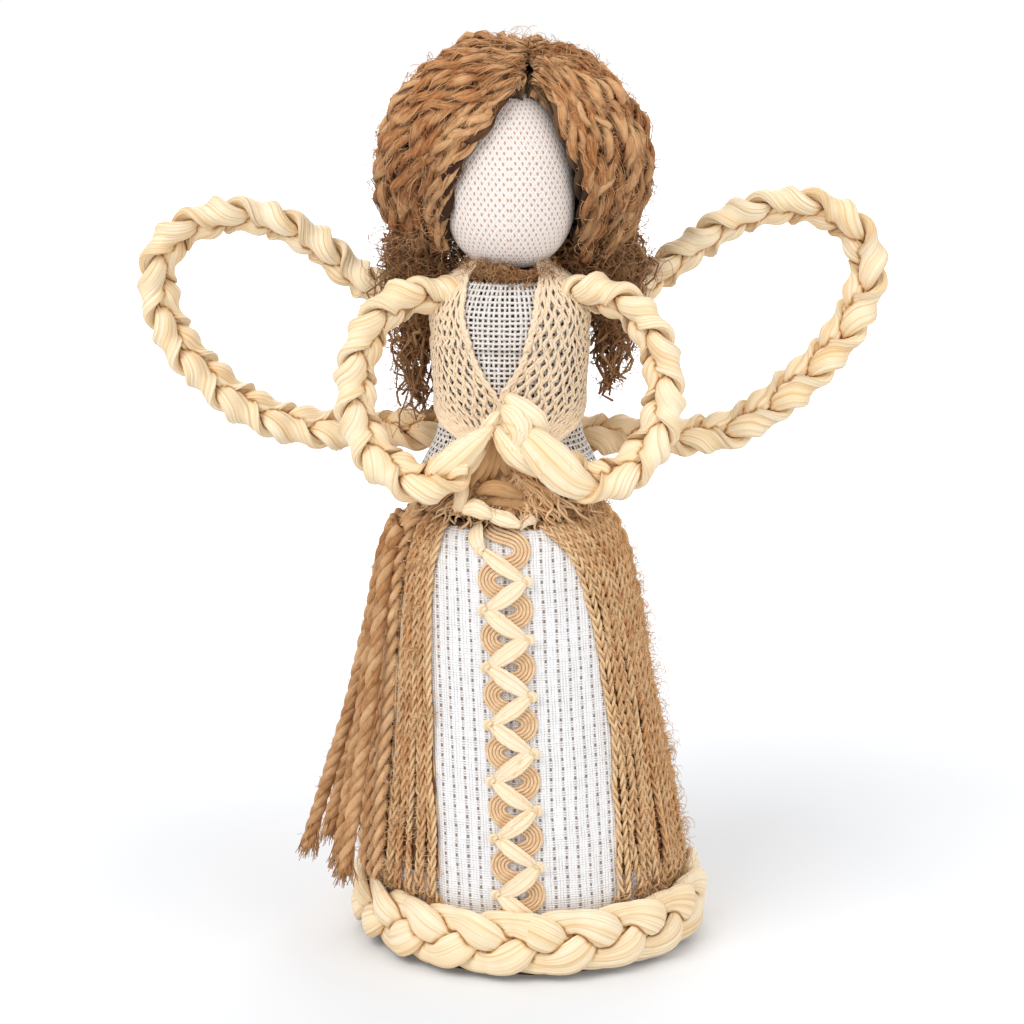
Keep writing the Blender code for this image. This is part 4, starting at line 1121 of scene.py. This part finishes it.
lace = {"columns": 21, "stitch": 0.0026, "stepsPerStitch": 8, "sway": 0.27, "edgeSway": 0.6, "strands": 2,
        "apart": 0.26, "cross": 0.10, "thread": 0.00045, "flat": 0.45, "bump": 0.00022, "smoothing": 8,
        "clear": 0.0007, "shoulder": 0.0004, "hemStep": 0.012, "hemThread": 1.25, "hemLift": 0.0003,
        "Left": ((0, 8), (.30, 7), (.37, 12), (.43, 20), (.55, 28), (.69, 34), (.83, 39), (.90, 43), (1, 58)),
        "Right": ((0, -2), (.30, -7), (.37, -6), (.43, 3), (.55, 11), (.69, 16), (.78, 19), (.88, 23),
                  (.92, 30), (1, 48)),
        "outer": ((0, 22), (.08, 26), (.12, 34), (.17, 56), (.23, 80), (.30, 99), (.38, 106), (.75, 104),
                  (.85, 97), (.93, 93), (1, 92)),
        "foot": 0.1335, "top": 0.1866}


def makeLace(side, word):
    # crochet net: wandering threads that meet and part, with an oval hole in each gap
    look, bundle = lace, Bundle()
    columns, strands = look["columns"], look["strands"]
    rows = int((look["top"] - look["foot"]) / look["stitch"] * look["stepsPerStitch"])
    t = np.linspace(0, 1, rows)
    height = look["foot"] + (look["top"] - look["foot"]) * t
    low, high = [smoothed(tableAt(look[edge], t, 1), look["smoothing"]) for edge in (word, "outer")]
    lift = body["cloth"] + look["clear"] + look["shoulder"] * ease((t - 0.66) / 0.20)
    for column in range(columns + 1):
        phase = math.pi * (height - look["foot"]) / look["stitch"]
        phase = phase + wobble((1, rows, 1), (1, 2, 4), 0.55)[0, :, 0]
        swing = look["sway"] * np.sin(phase + math.pi * column)
        swing = swing * (look["edgeSway"] if column in (0, columns) else 1)
        for strand in range(strands):
            off = (strand - (strands - 1) / 2) * look["apart"]
            cross = look["cross"] * np.sin(2 * phase + strand * tau / 3)
            share = (column + swing + off * (0.7 + 0.3 * np.cos(2 * phase)) + cross) / columns
            share = share + wobble((1, rows, 1), (3, 9, 15), 0.0100)[0, :, 0]
            bump = look["bump"] * np.sin(2 * phase + strand * tau / 3 + column)
            path = bodicePoint(side * (low + (high - low) * share), height, lift + bump)
            bundle.tubes(path[None], look["thread"], 5, hint=fromBody(path)[None], flat=look["flat"])
    for edge in (0.0, 1.0):
        for k in range(2):
            share = edge + (k - 0.5) * look["hemStep"] + look["hemStep"] * np.sin(phase * 2 + k * 3)
            path = bodicePoint(side * (low + (high - low) * share), height, lift + look["hemLift"])
            bundle.tubes(path[None], look["thread"] * look["hemThread"], 5, hint=fromBody(path)[None])
    band = bundle.piece("lace" + word, laceThread, ("lace_" + word.lower(),), "lace")


# jute at the neck and the waist
binding = {"neck": {"low": 0.1812, "high": 0.1858, "turns": 3, "wide": 0.0100, "deep": 0.0112, "cord": 0.0021,
                    "fold": 0.45, "fuzz": 700},
           "waist": {"low": 0.1192, "high": 0.1242, "turns": 2.5, "wide": 0.0232, "deep": 0.0222,
                     "cord": 0.0027, "fold": 0.1, "fuzz": 260},
           "ringsPerTurn": 60, "uneven": 0.0004, "turnsPerMetre": 240, "spread": 0.24, "radius": 0.30,
           "strayLength": 0.0050, "strayRadius": 0.00011}


def makeBinding(word, node, material):
    look, bundle, stray = binding[word], Bundle(), Bundle()
    cord, fuzz, perTurn = look["cord"], look["fuzz"], binding["ringsPerTurn"]
    count = int(look["turns"] * perTurn)
    angle = tau * np.arange(count + 1) / perTurn
    height = look["low"] + (look["high"] - look["low"]) * np.arange(count + 1) / count
    height = height + binding["uneven"] * np.sin(angle * 1.3)
    path = np.stack([look["wide"] * np.sin(angle) - body["lean"], -look["deep"] * np.cos(angle), height], -1)
    out = fromBody(path)
    # painted shade darkens the wraps, the neck one more as it lies under the chin
    plies(bundle, path[None], out[None], cord * binding["spread"], cord * binding["radius"],
          binding["turnsPerMetre"], 2, 1, sides=7, fold=look["fold"])
    bundle.piece(word + "Binding", material, (node,), "jute")
    pick = chance.integers(2, count - 2, fuzz)
    ways = unit(out[pick] * 0.5 + chance.normal(0, 0.8, (fuzz, 3)))
    curls(stray, path[pick] + out[pick] * cord * 0.45, ways, binding["strayLength"], binding["strayRadius"],
          points=7, fold=0.25)
    stray.piece(word + "BindingFibres", material, (), "jute")


waist = {"fibres": 190, "points": 16, "top": 0.1365, "drop": 0.0134, "dropUneven": 0.0050, "sideDrop": 0.0016,
         "from": 8, "widening": 40, "lift": 0.0042, "liftUneven": 0.0018, "bow": 0.0022, "radius": 0.00020,
         "radiusUneven": 0.00022, "strayLength": 0.0035, "strayRadius": 0.00007}


def makeWaist():
    # loose jute that gathers from the hands down to the knot, over the flared foot of the bodice
    bundle, look = Bundle(), waist
    n, m = look["fibres"], look["points"]
    t = np.linspace(0, 1, m)[None, :]
    side = chance.normal(0, 0.55, (n, 1))
    degrees = side * (look["from"] + look["widening"] * t) + wobble((n, m, 1), (1, 2, 3), 3.0)[..., 0]
    drop = look["drop"] + look["dropUneven"] * chance.random((n, 1)) ** 3
    height = look["top"] - drop * t - look["sideDrop"] * np.abs(side) + 0 * degrees
    lift = look["lift"] + look["liftUneven"] * chance.random((n, 1)) + look["bow"] * np.sin(math.pi * t)
    path = torsoPoint(degrees, np.maximum(height, body["torsoFoot"]), lift)
    path[..., 2] = height
    radial = fromBody(path)
    bundle.tubes(path, look["radius"] + look["radiusUneven"] * chance.random((n, 1)), 4, hint=radial)
    spot = path[:, ::3].reshape(-1, 3)
    ways = unit(radial[:, ::3].reshape(-1, 3) * 0.5 + chance.normal(0, 0.7, spot.shape))
    hairs(bundle, spot[::3], ways[::3], look["strayLength"], look["strayRadius"], curl=0.9)
    bundle.piece("waistFibres", jute, (), "jute")


# husk leaves of the knot and the hands: points given one by one, widths along them and thickness
knotHusk = dict(braid, sides=32, crease=0.12, edgeStep=0.08)
handHusk = dict(braid, sides=36, crease=0.06, edgeStep=0.06)
knotFace, tailFace, handFace = (0, -1, 0.2), (0, -1, 0.1), (0, -1, 0.15)
knotLeaves = (
    (((-.0140, -.0240, .1277), (-.0110, -.0266, .1296), (-.0071, -.0270, .1294), (-.0016, -.0245, .1268)),
     (.0016, .0042, .0046, .0012), 0.0030, {"dark": 0.9, "cup": -0.2, "toneLevel": 1.8}),
    (((-.0120, -.0235, .1250), (-.0080, -.0252, .1262), (-.0030, -.0245, .1252), (.0010, -.0228, .1240)),
     (.0020, .0036, .0034, .0014), 0.0026, {"dark": 0.9, "toneLevel": 1.9}))
tailLeftLeaves = (
    (((-.0173, -.0242, .1302), (-.0179, -.0268, .1280), (-.0184, -.0262, .1252), (-.0181, -.0255, .1236)),
     (.0030, .0038, .0034, .0032), 0.0022, {"dark": 0.7, "fray": 0.14, "cup": -0.2, "toneLevel": 1.6}),
    (((-.0176, -.0255, .1236), (-.0146, -.0278, .1246), (-.0120, -.0280, .1235), (-.0094, -.0268, .1216)),
     (.0028, .0050, .0046, .0012), 0.0026, {"dark": 0.45, "fray": 0.10, "cup": -0.2}))
tailRightLeaves = (
    (((-.0118, -.0262, .1240), (-.0090, -.0272, .1222), (-.0058, -.0272, .1210), (-.0026, -.0268, .1196)),
     (.0020, .0040, .0044, .0020), 0.0018, {"dark": 0.4, "cup": -0.2}),)
handLeftLeaves = (
    (((-.0262, -.0262, .1324), (-.0205, -.0292, .1374), (-.0144, -.0300, .1428), (-.0096, -.0284, .1466)),
     (.0040, .0076, .0080, .0058, .0016), 0.0036, {"rings": 34, "dark": 0.5, "cup": -0.2}),
    (((-.0125, -.0268, .1440), (-.0098, -.0280, .1480), (-.0076, -.0266, .1504)),
     (.0030, .0036, .0032, .0012), 0.0022, {"dark": 0.5, "cup": -0.2}),
    (((-.0270, -.0255, .1318), (-.0215, -.0262, .1330), (-.0160, -.0256, .1360), (-.0120, -.0250, .1400)),
     (.0070, .0072, .0050, .0020), 0.0040, {"dark": 0.5, "cup": -0.2}))
handRightLeaves = (
    (((-.0064, -.0262, .1542), (-.0030, -.0282, .1518), (.0010, -.0284, .1486), (.0046, -.0262, .1440)),
     (.0026, .0058, .0060, .0022), 0.0026, {"dark": 0.5, "cup": -0.2}),
    (((-.0072, -.0272, .1512), (-.0044, -.0300, .1490), (-.0028, -.0312, .1450), (-.0044, -.0296, .1404)),
     (.0026, .0068, .0074, .0050, .0014), 0.0030, {"dark": 0.5, "cup": -0.25}),
    (((-.0090, -.0272, .1462), (-.0063, -.0294, .1425), (-.0030, -.0298, .1385), (.0020, -.0276, .1332)),
     (.0026, .0064, .0072, .0052, .0018), 0.0030, {"dark": 0.5, "cup": -0.2}),
    (((-.0032, -.0278, .1453), (.0004, -.0306, .1431), (.0056, -.0322, .1378), (.0116, -.0318, .1322),
      (.0183, -.0272, .1290)), (.0030, .0090, .0112, .0108, .0078, .0030), 0.0046,
     {"rings": 40, "dark": 0.5, "cup": -0.2}))
wisps = {"feet": (-.0160, -.0128, -.0100, -.0060, -.0030, .0020), "widths": (.0014, .0034, .0040, .0012),
         "thick": 0.0011, "rings": 16, "middle": -.0084}


def makeLeaves(name, material, node, leaves, facing, look):
    bundle = Bundle()
    for points, widths, thickness, more in leaves:
        leaf(bundle, points, widths, thickness, facing, look, **more)
    bundle.piece(name, material, (node,), "husk")


def makeWisps():
    # thin darker strips that run down from the hands to the knot
    bundle, look = Bundle(), wisps
    for k, x in enumerate(look["feet"]):
        points = ((look["middle"] + .0003 * k, -.0246, .1440),
                  ((x + look["middle"]) / 2, -.0250, .1372 + .0006 * k), (x, -.0240, .1292 + .0010 * k))
        leaf(bundle, points, look["widths"], look["thick"], knotFace, knotHusk, rings=look["rings"],
             dark=0.9, twist=chance.normal(0, 0.8), toneLevel=1.5 + 0.5 * chance.random())
    bundle.piece("waistWisps", darkerHusk, (), "husk")


makeTorso()
makeBodice()
makeLace(-1, "Left")
makeLace(1, "Right")
makeBinding("neck", "neck_binding", hairJute)
makeBinding("waist", "waist_band", jute)
makeWaist()
makeLeaves("waistKnot", darkerHusk, "waist_knot", knotLeaves, knotFace, knotHusk)
makeLeaves("knotTailLeft", husk, "knot_tail_left", tailLeftLeaves, knotFace, knotHusk)
makeLeaves("knotTailRight", husk, "knot_tail_right", tailRightLeaves, tailFace, knotHusk)
makeWisps()
makeLeaves("handLeft", husk, "hand_left", handLeftLeaves, handFace, handHusk)
makeLeaves("handRight", husk, "hand_right", handRightLeaves, handFace, handHusk)
print("body and clothes made")

# head and hair
head = {"rows": 60, "columns": 72, "cover": 0.0009, "coverInside": 0.0003, "pleats": 14,
        "pleatDepth": 0.00025, "pleatTo": 0.10, "dent": 0.00012, "tip": 0.0003, "first": 0.008,
        "rise": 0.985, "unroll": 0.93}


def headPoint(degrees, share, lift):
    fine = smoothPath([(at, radius, 0) for at, radius in headShares], 200)[0]
    radius = np.interp(share, fine[:, 0], fine[:, 1]) * body["headHalfWidth"] + lift
    angle = np.radians(degrees)
    return np.stack([radius * np.sin(angle) - body["lean"], -radius * np.cos(angle),
                     body["headFoot"] + body["headHeight"] * share + 0 * angle], -1)


def egg(bundle, lift, inside):
    # the closed skin of the head at this distance from the ball, turned inside out for the inside
    look = head
    share = (1 - np.cos(math.pi * np.linspace(0, 1, look["rows"]))) / 2 * look["rise"] + look["first"]
    share, degrees = np.meshgrid(share, np.linspace(0, 360, look["columns"] + 1), indexing="ij")
    angle = np.radians(degrees)
    dents = look["dent"] * np.sin(angle * 3 + share * 9) * np.sin(share * 12)
    pleats = look["pleatDepth"] * np.cos(angle * look["pleats"]) * np.maximum(0, 1 - share / look["pleatTo"])
    points = headPoint(degrees, share, lift + dents + pleats)
    run = np.concatenate([[0], np.cumsum(np.linalg.norm(np.diff(points[:, 0], axis=0), axis=1))])
    around = angle * body["headHalfWidth"] * look["unroll"]
    uvAt = np.stack([around, run[:, None] + 0 * around], -1)
    tip, foot = points[-1:].mean(1, keepdims=True), points[:1].mean(1, keepdims=True)
    points = np.concatenate([np.broadcast_to(foot, points[:1].shape), points,
                             np.broadcast_to(tip + (0, 0, look["tip"]), points[:1].shape)])
    uvAt = np.concatenate([uvAt[:1], uvAt, uvAt[-1:]])
    if inside:
        points, uvAt = points[:, ::-1], uvAt[:, ::-1]
    bundle.grid(points[None], around=False, uvAt=uvAt.reshape(-1, 2), tone=0.5)


def makeHead():
    ball, cover = Bundle(), Bundle()
    egg(ball, 0.0, False)
    ball.piece("headBall", stuffing, ("head_ball",), "stuffing", weld=True)
    egg(cover, head["cover"], False)
    egg(cover, head["coverInside"], True)
    knitted = cover.piece("headCover", knit, ("head_cover",), "knit", weld=True)


# side -1 is the left mass and 1 the right; an opening gives degrees from the face, by share of the fall;
# a layer is (depth, number of locks, painted shade), the outer one last
hair = {"halfWide": 0.0358, "halfDeep": 0.0325, "crown": 0.0346, "edge": 0.0042, "height": 0.2092,
        "skin": 0.0012, "parting": 1.5, "end": 179.0, "fall": {-1: 126, 1: 136}, "pole": 17,
        "shift": 0.0010, "aside": 8, "falls": ((0, 1.06), (.3, 1.0), (1, 1.05)),
        "opening": {-1: ((0, 20), (.06, 28), (.09, 30), (.15, 31), (.20, 32), (.30, 34), (.40, 37.5),
                         (.50, 42), (.60, 48), (.70, 55), (.80, 62), (.90, 70), (1, 77)),
                    1: ((0, 30), (.06, 42), (.09, 46), (.15, 48), (.20, 50), (.30, 52), (.40, 54),
                        (.50, 56.5), (.60, 60), (.70, 64), (.80, 67), (.90, 71), (1, 77))}}
locks = {"points": 50, "layers": ((0.62, 30, 0.80), (0.92, 50, 0.03)), "lowDark": 0.42, "ply": 0.00096,
         "spread": 0.00088, "turns": 60, "sway": 0.00075, "faceEdge": ((0.010,), (0.034,)), "fibres": 5,
         "fibreSway": 0.00048, "fibreRadius": 0.00012, "fibreUneven": 0.00009,
         "frizz": 2000, "frizzLength": 0.0052, "frizzRadius": 0.00009}
under = {"rows": 40, "columns": 60, "foot": 0.97, "from": 0.075, "outer": 0.58, "inner": 0.05, "ridge": 0.08}


def hairPoint(side, share, around, depth):
    # share runs from the parting down, around from the face to the back, depth 1 is outside
    start = tableAt(hair["opening"][side], np.clip(share, 0, 1), 1)
    degrees = start + (hair["end"] - start) * around
    fall = tableAt(hair["falls"], around, 1) * hair["fall"][side]
    a, f = np.radians(degrees), np.radians(hair["parting"] + (fall - hair["parting"]) * share)
    way = np.stack([side * np.sin(a) * np.sin(f), -np.cos(a) * np.sin(f), np.cos(f)], -1)
    tilt = np.radians(hair["pole"]) * np.clip(1 - share / 0.85, 0, 1) ** 1.5
    y = way[..., 1] * np.cos(tilt) - way[..., 2] * np.sin(tilt)
    z = way[..., 1] * np.sin(tilt) + way[..., 2] * np.cos(tilt)
    aside = np.radians(hair["aside"]) * np.clip(1 - share / 0.8, 0, 1)
    x = way[..., 0] * np.cos(aside) + z * np.sin(aside)
    z = z * np.cos(aside) - way[..., 0] * np.sin(aside)
    way = unit(np.stack([x, y, z], -1))
    full = 1 / np.sqrt((way[..., 0] / hair["halfWide"]) ** 2 + (way[..., 1] / hair["halfDeep"]) ** 2
                       + (way[..., 2] / hair["crown"]) ** 2)
    skin = headPoint(np.array([0.0]), np.linspace(0, 1, 80), hair["skin"])
    radii, heights = -skin[:, 1], skin[:, 2] - hair["height"]
    flat = np.hypot(way[..., 0], way[..., 1])
    floor = np.zeros(share.shape)
    for _ in range(14):
        floor = np.interp(way[..., 2] * floor, heights, radii) / np.maximum(flat, 0.35) * 0.5 + floor * 0.5
    floor = np.minimum(floor, full * 0.86)
    rise = ease(around / 0.28)
    crown = np.clip(1 - share / 0.35, 0, 1) * (0.25 + 0.75 * ease(around / 0.15))
    thick = hair["edge"] + (full - floor - hair["edge"]) * np.maximum(rise, crown)
    reach = floor + thick * depth
    return way * reach[..., None] + (hair["shift"] - body["lean"], 0, hair["height"]), way


def makeUnderHair(side, word):
    # the body of the hair below its locks, painted dark as the shade in the gaps between them
    base, look = Bundle(), under
    share, around = np.meshgrid(np.linspace(0.0, look["foot"], look["rows"]),
                                np.linspace(look["from"], 1, look["columns"]), indexing="ij")
    ridges = look["ridge"] * np.sin(around * 70 + 3 * np.sin(share * 5))
    outer, _ = hairPoint(side, share, around, look["outer"] + ridges)
    inner, _ = hairPoint(side, share, around, look["inner"] + 0 * share)
    if side < 0:
        outer, inner = outer[:, ::-1], inner[:, ::-1]
    base.shell(outer, inner, np.stack([around * 0.1, share * 0.07], -1), fold=0.92)
    base.piece("hair%sUnder" % word, hairJute, ("hair_%s" % word.lower(),), "hair_jute", weld=True)


def makeLocks(side, word):
    # plied locks in two layers, and single fibres laid along the plies of the outer one
    look, m = locks, locks["points"]
    t = np.linspace(0, 1, m)[None, :]
    bundle, strands = Bundle(), Bundle()
    for depth, count, fold in look["layers"]:
        outside = fold < 0.5
        around = (np.arange(count) + 0.35 + 0.5 * chance.random(count)) / count
        around = around[:, None] + wobble((count, m, 1), (1, 2, 3), 0.015)[..., 0] * (0.3 + t)
        around = np.clip(around, 0.004, 0.996)
        around[:2] = np.array(look["faceEdge"]) + 0.3 * (around[:2] - around[:2].mean(1, keepdims=True))
        first, last = 0.06 * chance.random((count, 1)), 0.90 + 0.13 * chance.random((count, 1))
        share = first + (last - first) * t
        level = depth + wobble((count, m, 1), (1, 2, 3), 0.05)[..., 0]
        level = level + 0.06 * chance.normal(0, 1, (count, 1))
        path, way = hairPoint(side, share, around, np.clip(level, 0.25, 1.10))
        path = path + wobble((count, m, 3), (2, 4, 7), look["sway"])
        # painted shade: the inner layer is darkened, and each lock grows darker towards its lower end
        shade = fold + look["lowDark"] * ease((share - 0.30) / 0.75) * (0.5 + chance.random((count, 1)))
        shade = shade[..., None]
        taper = (0.45 + 0.65 * ease(t / 0.30)) * (1 - 0.35 * ease((t - 0.85) / 0.15)) * np.ones((count, 1))
        size = look["ply"] * (0.78 + 0.5 * chance.random((count, 1)))
        laid = plies(bundle, path, way, look["spread"] * taper[..., None], size, look["turns"], 2, 1,
                     sides=8 if outside else 6, phase=tau * chance.random((count, 1)), uneven=0.20,
                     taper=taper, fold=np.minimum(shade, 0.95), tone=chance.random(count)[:, None, None])
        for ply in laid if outside else ():
            _, out, wide = frames(ply, way)
            for k in range(look["fibres"]):
                spin = tau * (k / look["fibres"] + chance.random((count, 1)))
                spin = spin - t * tau * (1.5 + 1.0 * chance.normal(0, 1, (count, 1)))
                reach = (size * taper * (0.95 + 0.22 * chance.random((count, 1))))[..., None]
                fibre = ply + (wide * np.cos(spin)[..., None] + out * np.sin(spin)[..., None]) * reach
                fibre = fibre + wobble((count, m, 3), (3, 6, 11), look["fibreSway"])
                radius = look["fibreRadius"] + look["fibreUneven"] * chance.random((count, 1))
                strands.tubes(fibre[:, ::2], radius, 3, hint=way[:, ::2],
                              fold=np.minimum(shade[:, ::2] * 0.7, 0.9))
    bundle.piece("hair%sLocks" % word, hairJute, (), "hair_jute")
    strands.piece("hair%sFibres" % word, hairJute, (), "hair_jute")


def makeFrizz(side, word):
    # single fibres that loop out of the locks all over
    bundle, count = Bundle(), locks["frizz"]
    share = 0.03 + 0.98 * chance.random(count) ** 0.75
    spot, way = hairPoint(side, share, chance.random(count), 0.93 + 0.12 * chance.random(count))
    ways = unit(way * 0.25 + (0, 0, -0.25) + chance.normal(0, 0.75, (count, 3)))
    curls(bundle, spot, ways, locks["frizzLength"], locks["frizzRadius"], points=8, fold=0.04)
    bundle.piece("hair%sFrizz" % word, hairJute, (), "hair_jute")


tuft = {"locks": 96, "points": 24, "halfWide": 0.0062, "halfDeep": 0.0050, "above": 0.006, "depth": 0.30,
        "bow": 0.04, "sway": 0.0021, "radius": 0.00022, "radiusUneven": 0.00024, "curl": 0.0078,
        "curlRadius": 0.00010, "sizes": (0.70, 1.0, 1.05, 0.95, 0.85, 0.66, 0.40)}
nape = {"length": 0.0092, "radius": 0.00013, "droop": 0.6,
        "tangles": ((-0.0215, 0.0075, 0.1835, (0.0105, 0.0075, 0.0125), 760, 0.45),
                    (0.0215, 0.0075, 0.1835, (0.0105, 0.0075, 0.0125), 760, 0.45),
                    (0, 0.0150, 0.1840, (0.0200, 0.0080, 0.0120), 320, 0.5))}
strip = {"foot": 0.0077, "top": 0.52, "over": 0.0096, "seat": 0.51, "gap": 0.0009, "thick": 0.0028,
         "husk": dict(braid, sides=36, crease=0.10, edgeStep=0.08),
         "route": ((0, .0004, -.0012), (.25, -.0003, .0002), (.5, .0002, .0006), (.75, .0005, .0002),
                   (1, -.0004, -.0012)),
         "widths": (.0106, .0140, .0158, .0150, .0136, .0154, .0150, .0138, .0102)}


def makeTuft(side, word, spread, top, length):
    # tangled hair that hangs behind the shoulder, darkened as painted shade
    bundle, look = Bundle(), tuft
    n, m = look["locks"], look["points"]
    t = np.linspace(0, 1, m)[None, :]
    high = hair["height"] - hair["crown"] * top + look["above"]
    low = body["bodiceFoot"] + arm["rise"] * length
    size = np.interp(t, np.linspace(0, 1, len(look["sizes"])), look["sizes"])
    turn, reach = tau * chance.random((n, 1)), np.sqrt(chance.random((n, 1)))
    middle = side * hair["halfWide"] * (spread + look["bow"] * np.sin(math.pi * t)) - body["lean"]
    x = middle + np.cos(turn) * reach * size * look["halfWide"]
    y = hair["halfDeep"] * look["depth"] + np.sin(turn) * reach * size * look["halfDeep"]
    z = high + (low - high) * t * (0.30 + 0.75 * chance.random((n, 1)))
    path = np.stack([x, y + 0 * t, z], -1) + wobble((n, m, 3), (1, 2, 3, 5, 8), look["sway"])
    radius = look["radius"] + look["radiusUneven"] * chance.random((n, 1))
    bundle.tubes(path, radius, 4, hint=(0, -1, 0), fold=0.46)
    spot = path[:, 2::4].reshape(-1, 3)
    for _ in range(2):
        ways = unit(chance.normal(0, 0.9, spot.shape) + (0, 0, -0.35))
        curls(bundle, spot, ways, look["curl"], look["curlRadius"], fold=0.34)
    bundle.piece("hairTuft" + word, hairJute, ("hair_tuft_" + word.lower(),), "hair_jute")


def makeNape():
    # loose curly fibres that fill three egg-shaped spaces: under the jaw on each side and behind the neck,
    # darkened as painted shade
    bundle, look = Bundle(), nape
    for x, y, z, reach, count, fold in look["tangles"]:
        way = unit(chance.normal(0, 1, (count, 3)))
        spot = np.array((x - body["lean"], y, z)) + way * np.array(reach) * chance.random((count, 1)) ** 0.45
        turn = unit(chance.normal(0, 1, (count, 3)) + (0, 0, -look["droop"]))
        curls(bundle, spot, turn, look["length"], look["radius"], fold=fold)
    bundle.piece("hairNape", hairJute, (), "hair_jute")


def makeBackStrip():
    bundle, look = Bundle(), strip
    near = wingRoot + wing["strand"] * look["seat"] + look["gap"]
    low, high = wing["foot"] - look["foot"], wing["foot"] + wing["rise"] * look["top"] + look["over"]
    points = [(-body["lean"] + a, near + b, low + (high - low) * s) for s, a, b in look["route"]]
    leaf(bundle, points, look["widths"], look["thick"], (0, 1, 0), look["husk"], rings=48, cup=-0.10,
         dark=0.6, twist=0.06)
    bundle.piece("wingStrip", husk, ("wing_strip",), "husk")


makeHead()
for side, word in ((-1, "Left"), (1, "Right")):
    makeUnderHair(side, word)
    makeLocks(side, word)
    makeFrizz(side, word)
makeNape()
makeTuft(-1, "Left", 0.70, 0.560, 0.32)
makeTuft(1, "Right", 0.76, 0.650, 0.48)
makeBackStrip()
for node, paint in (("base_disc", board), ("skirt_cone", board), ("body_stick", wood)):
    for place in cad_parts[node].material_slots:
        place.material = paint
print("head and hair made")
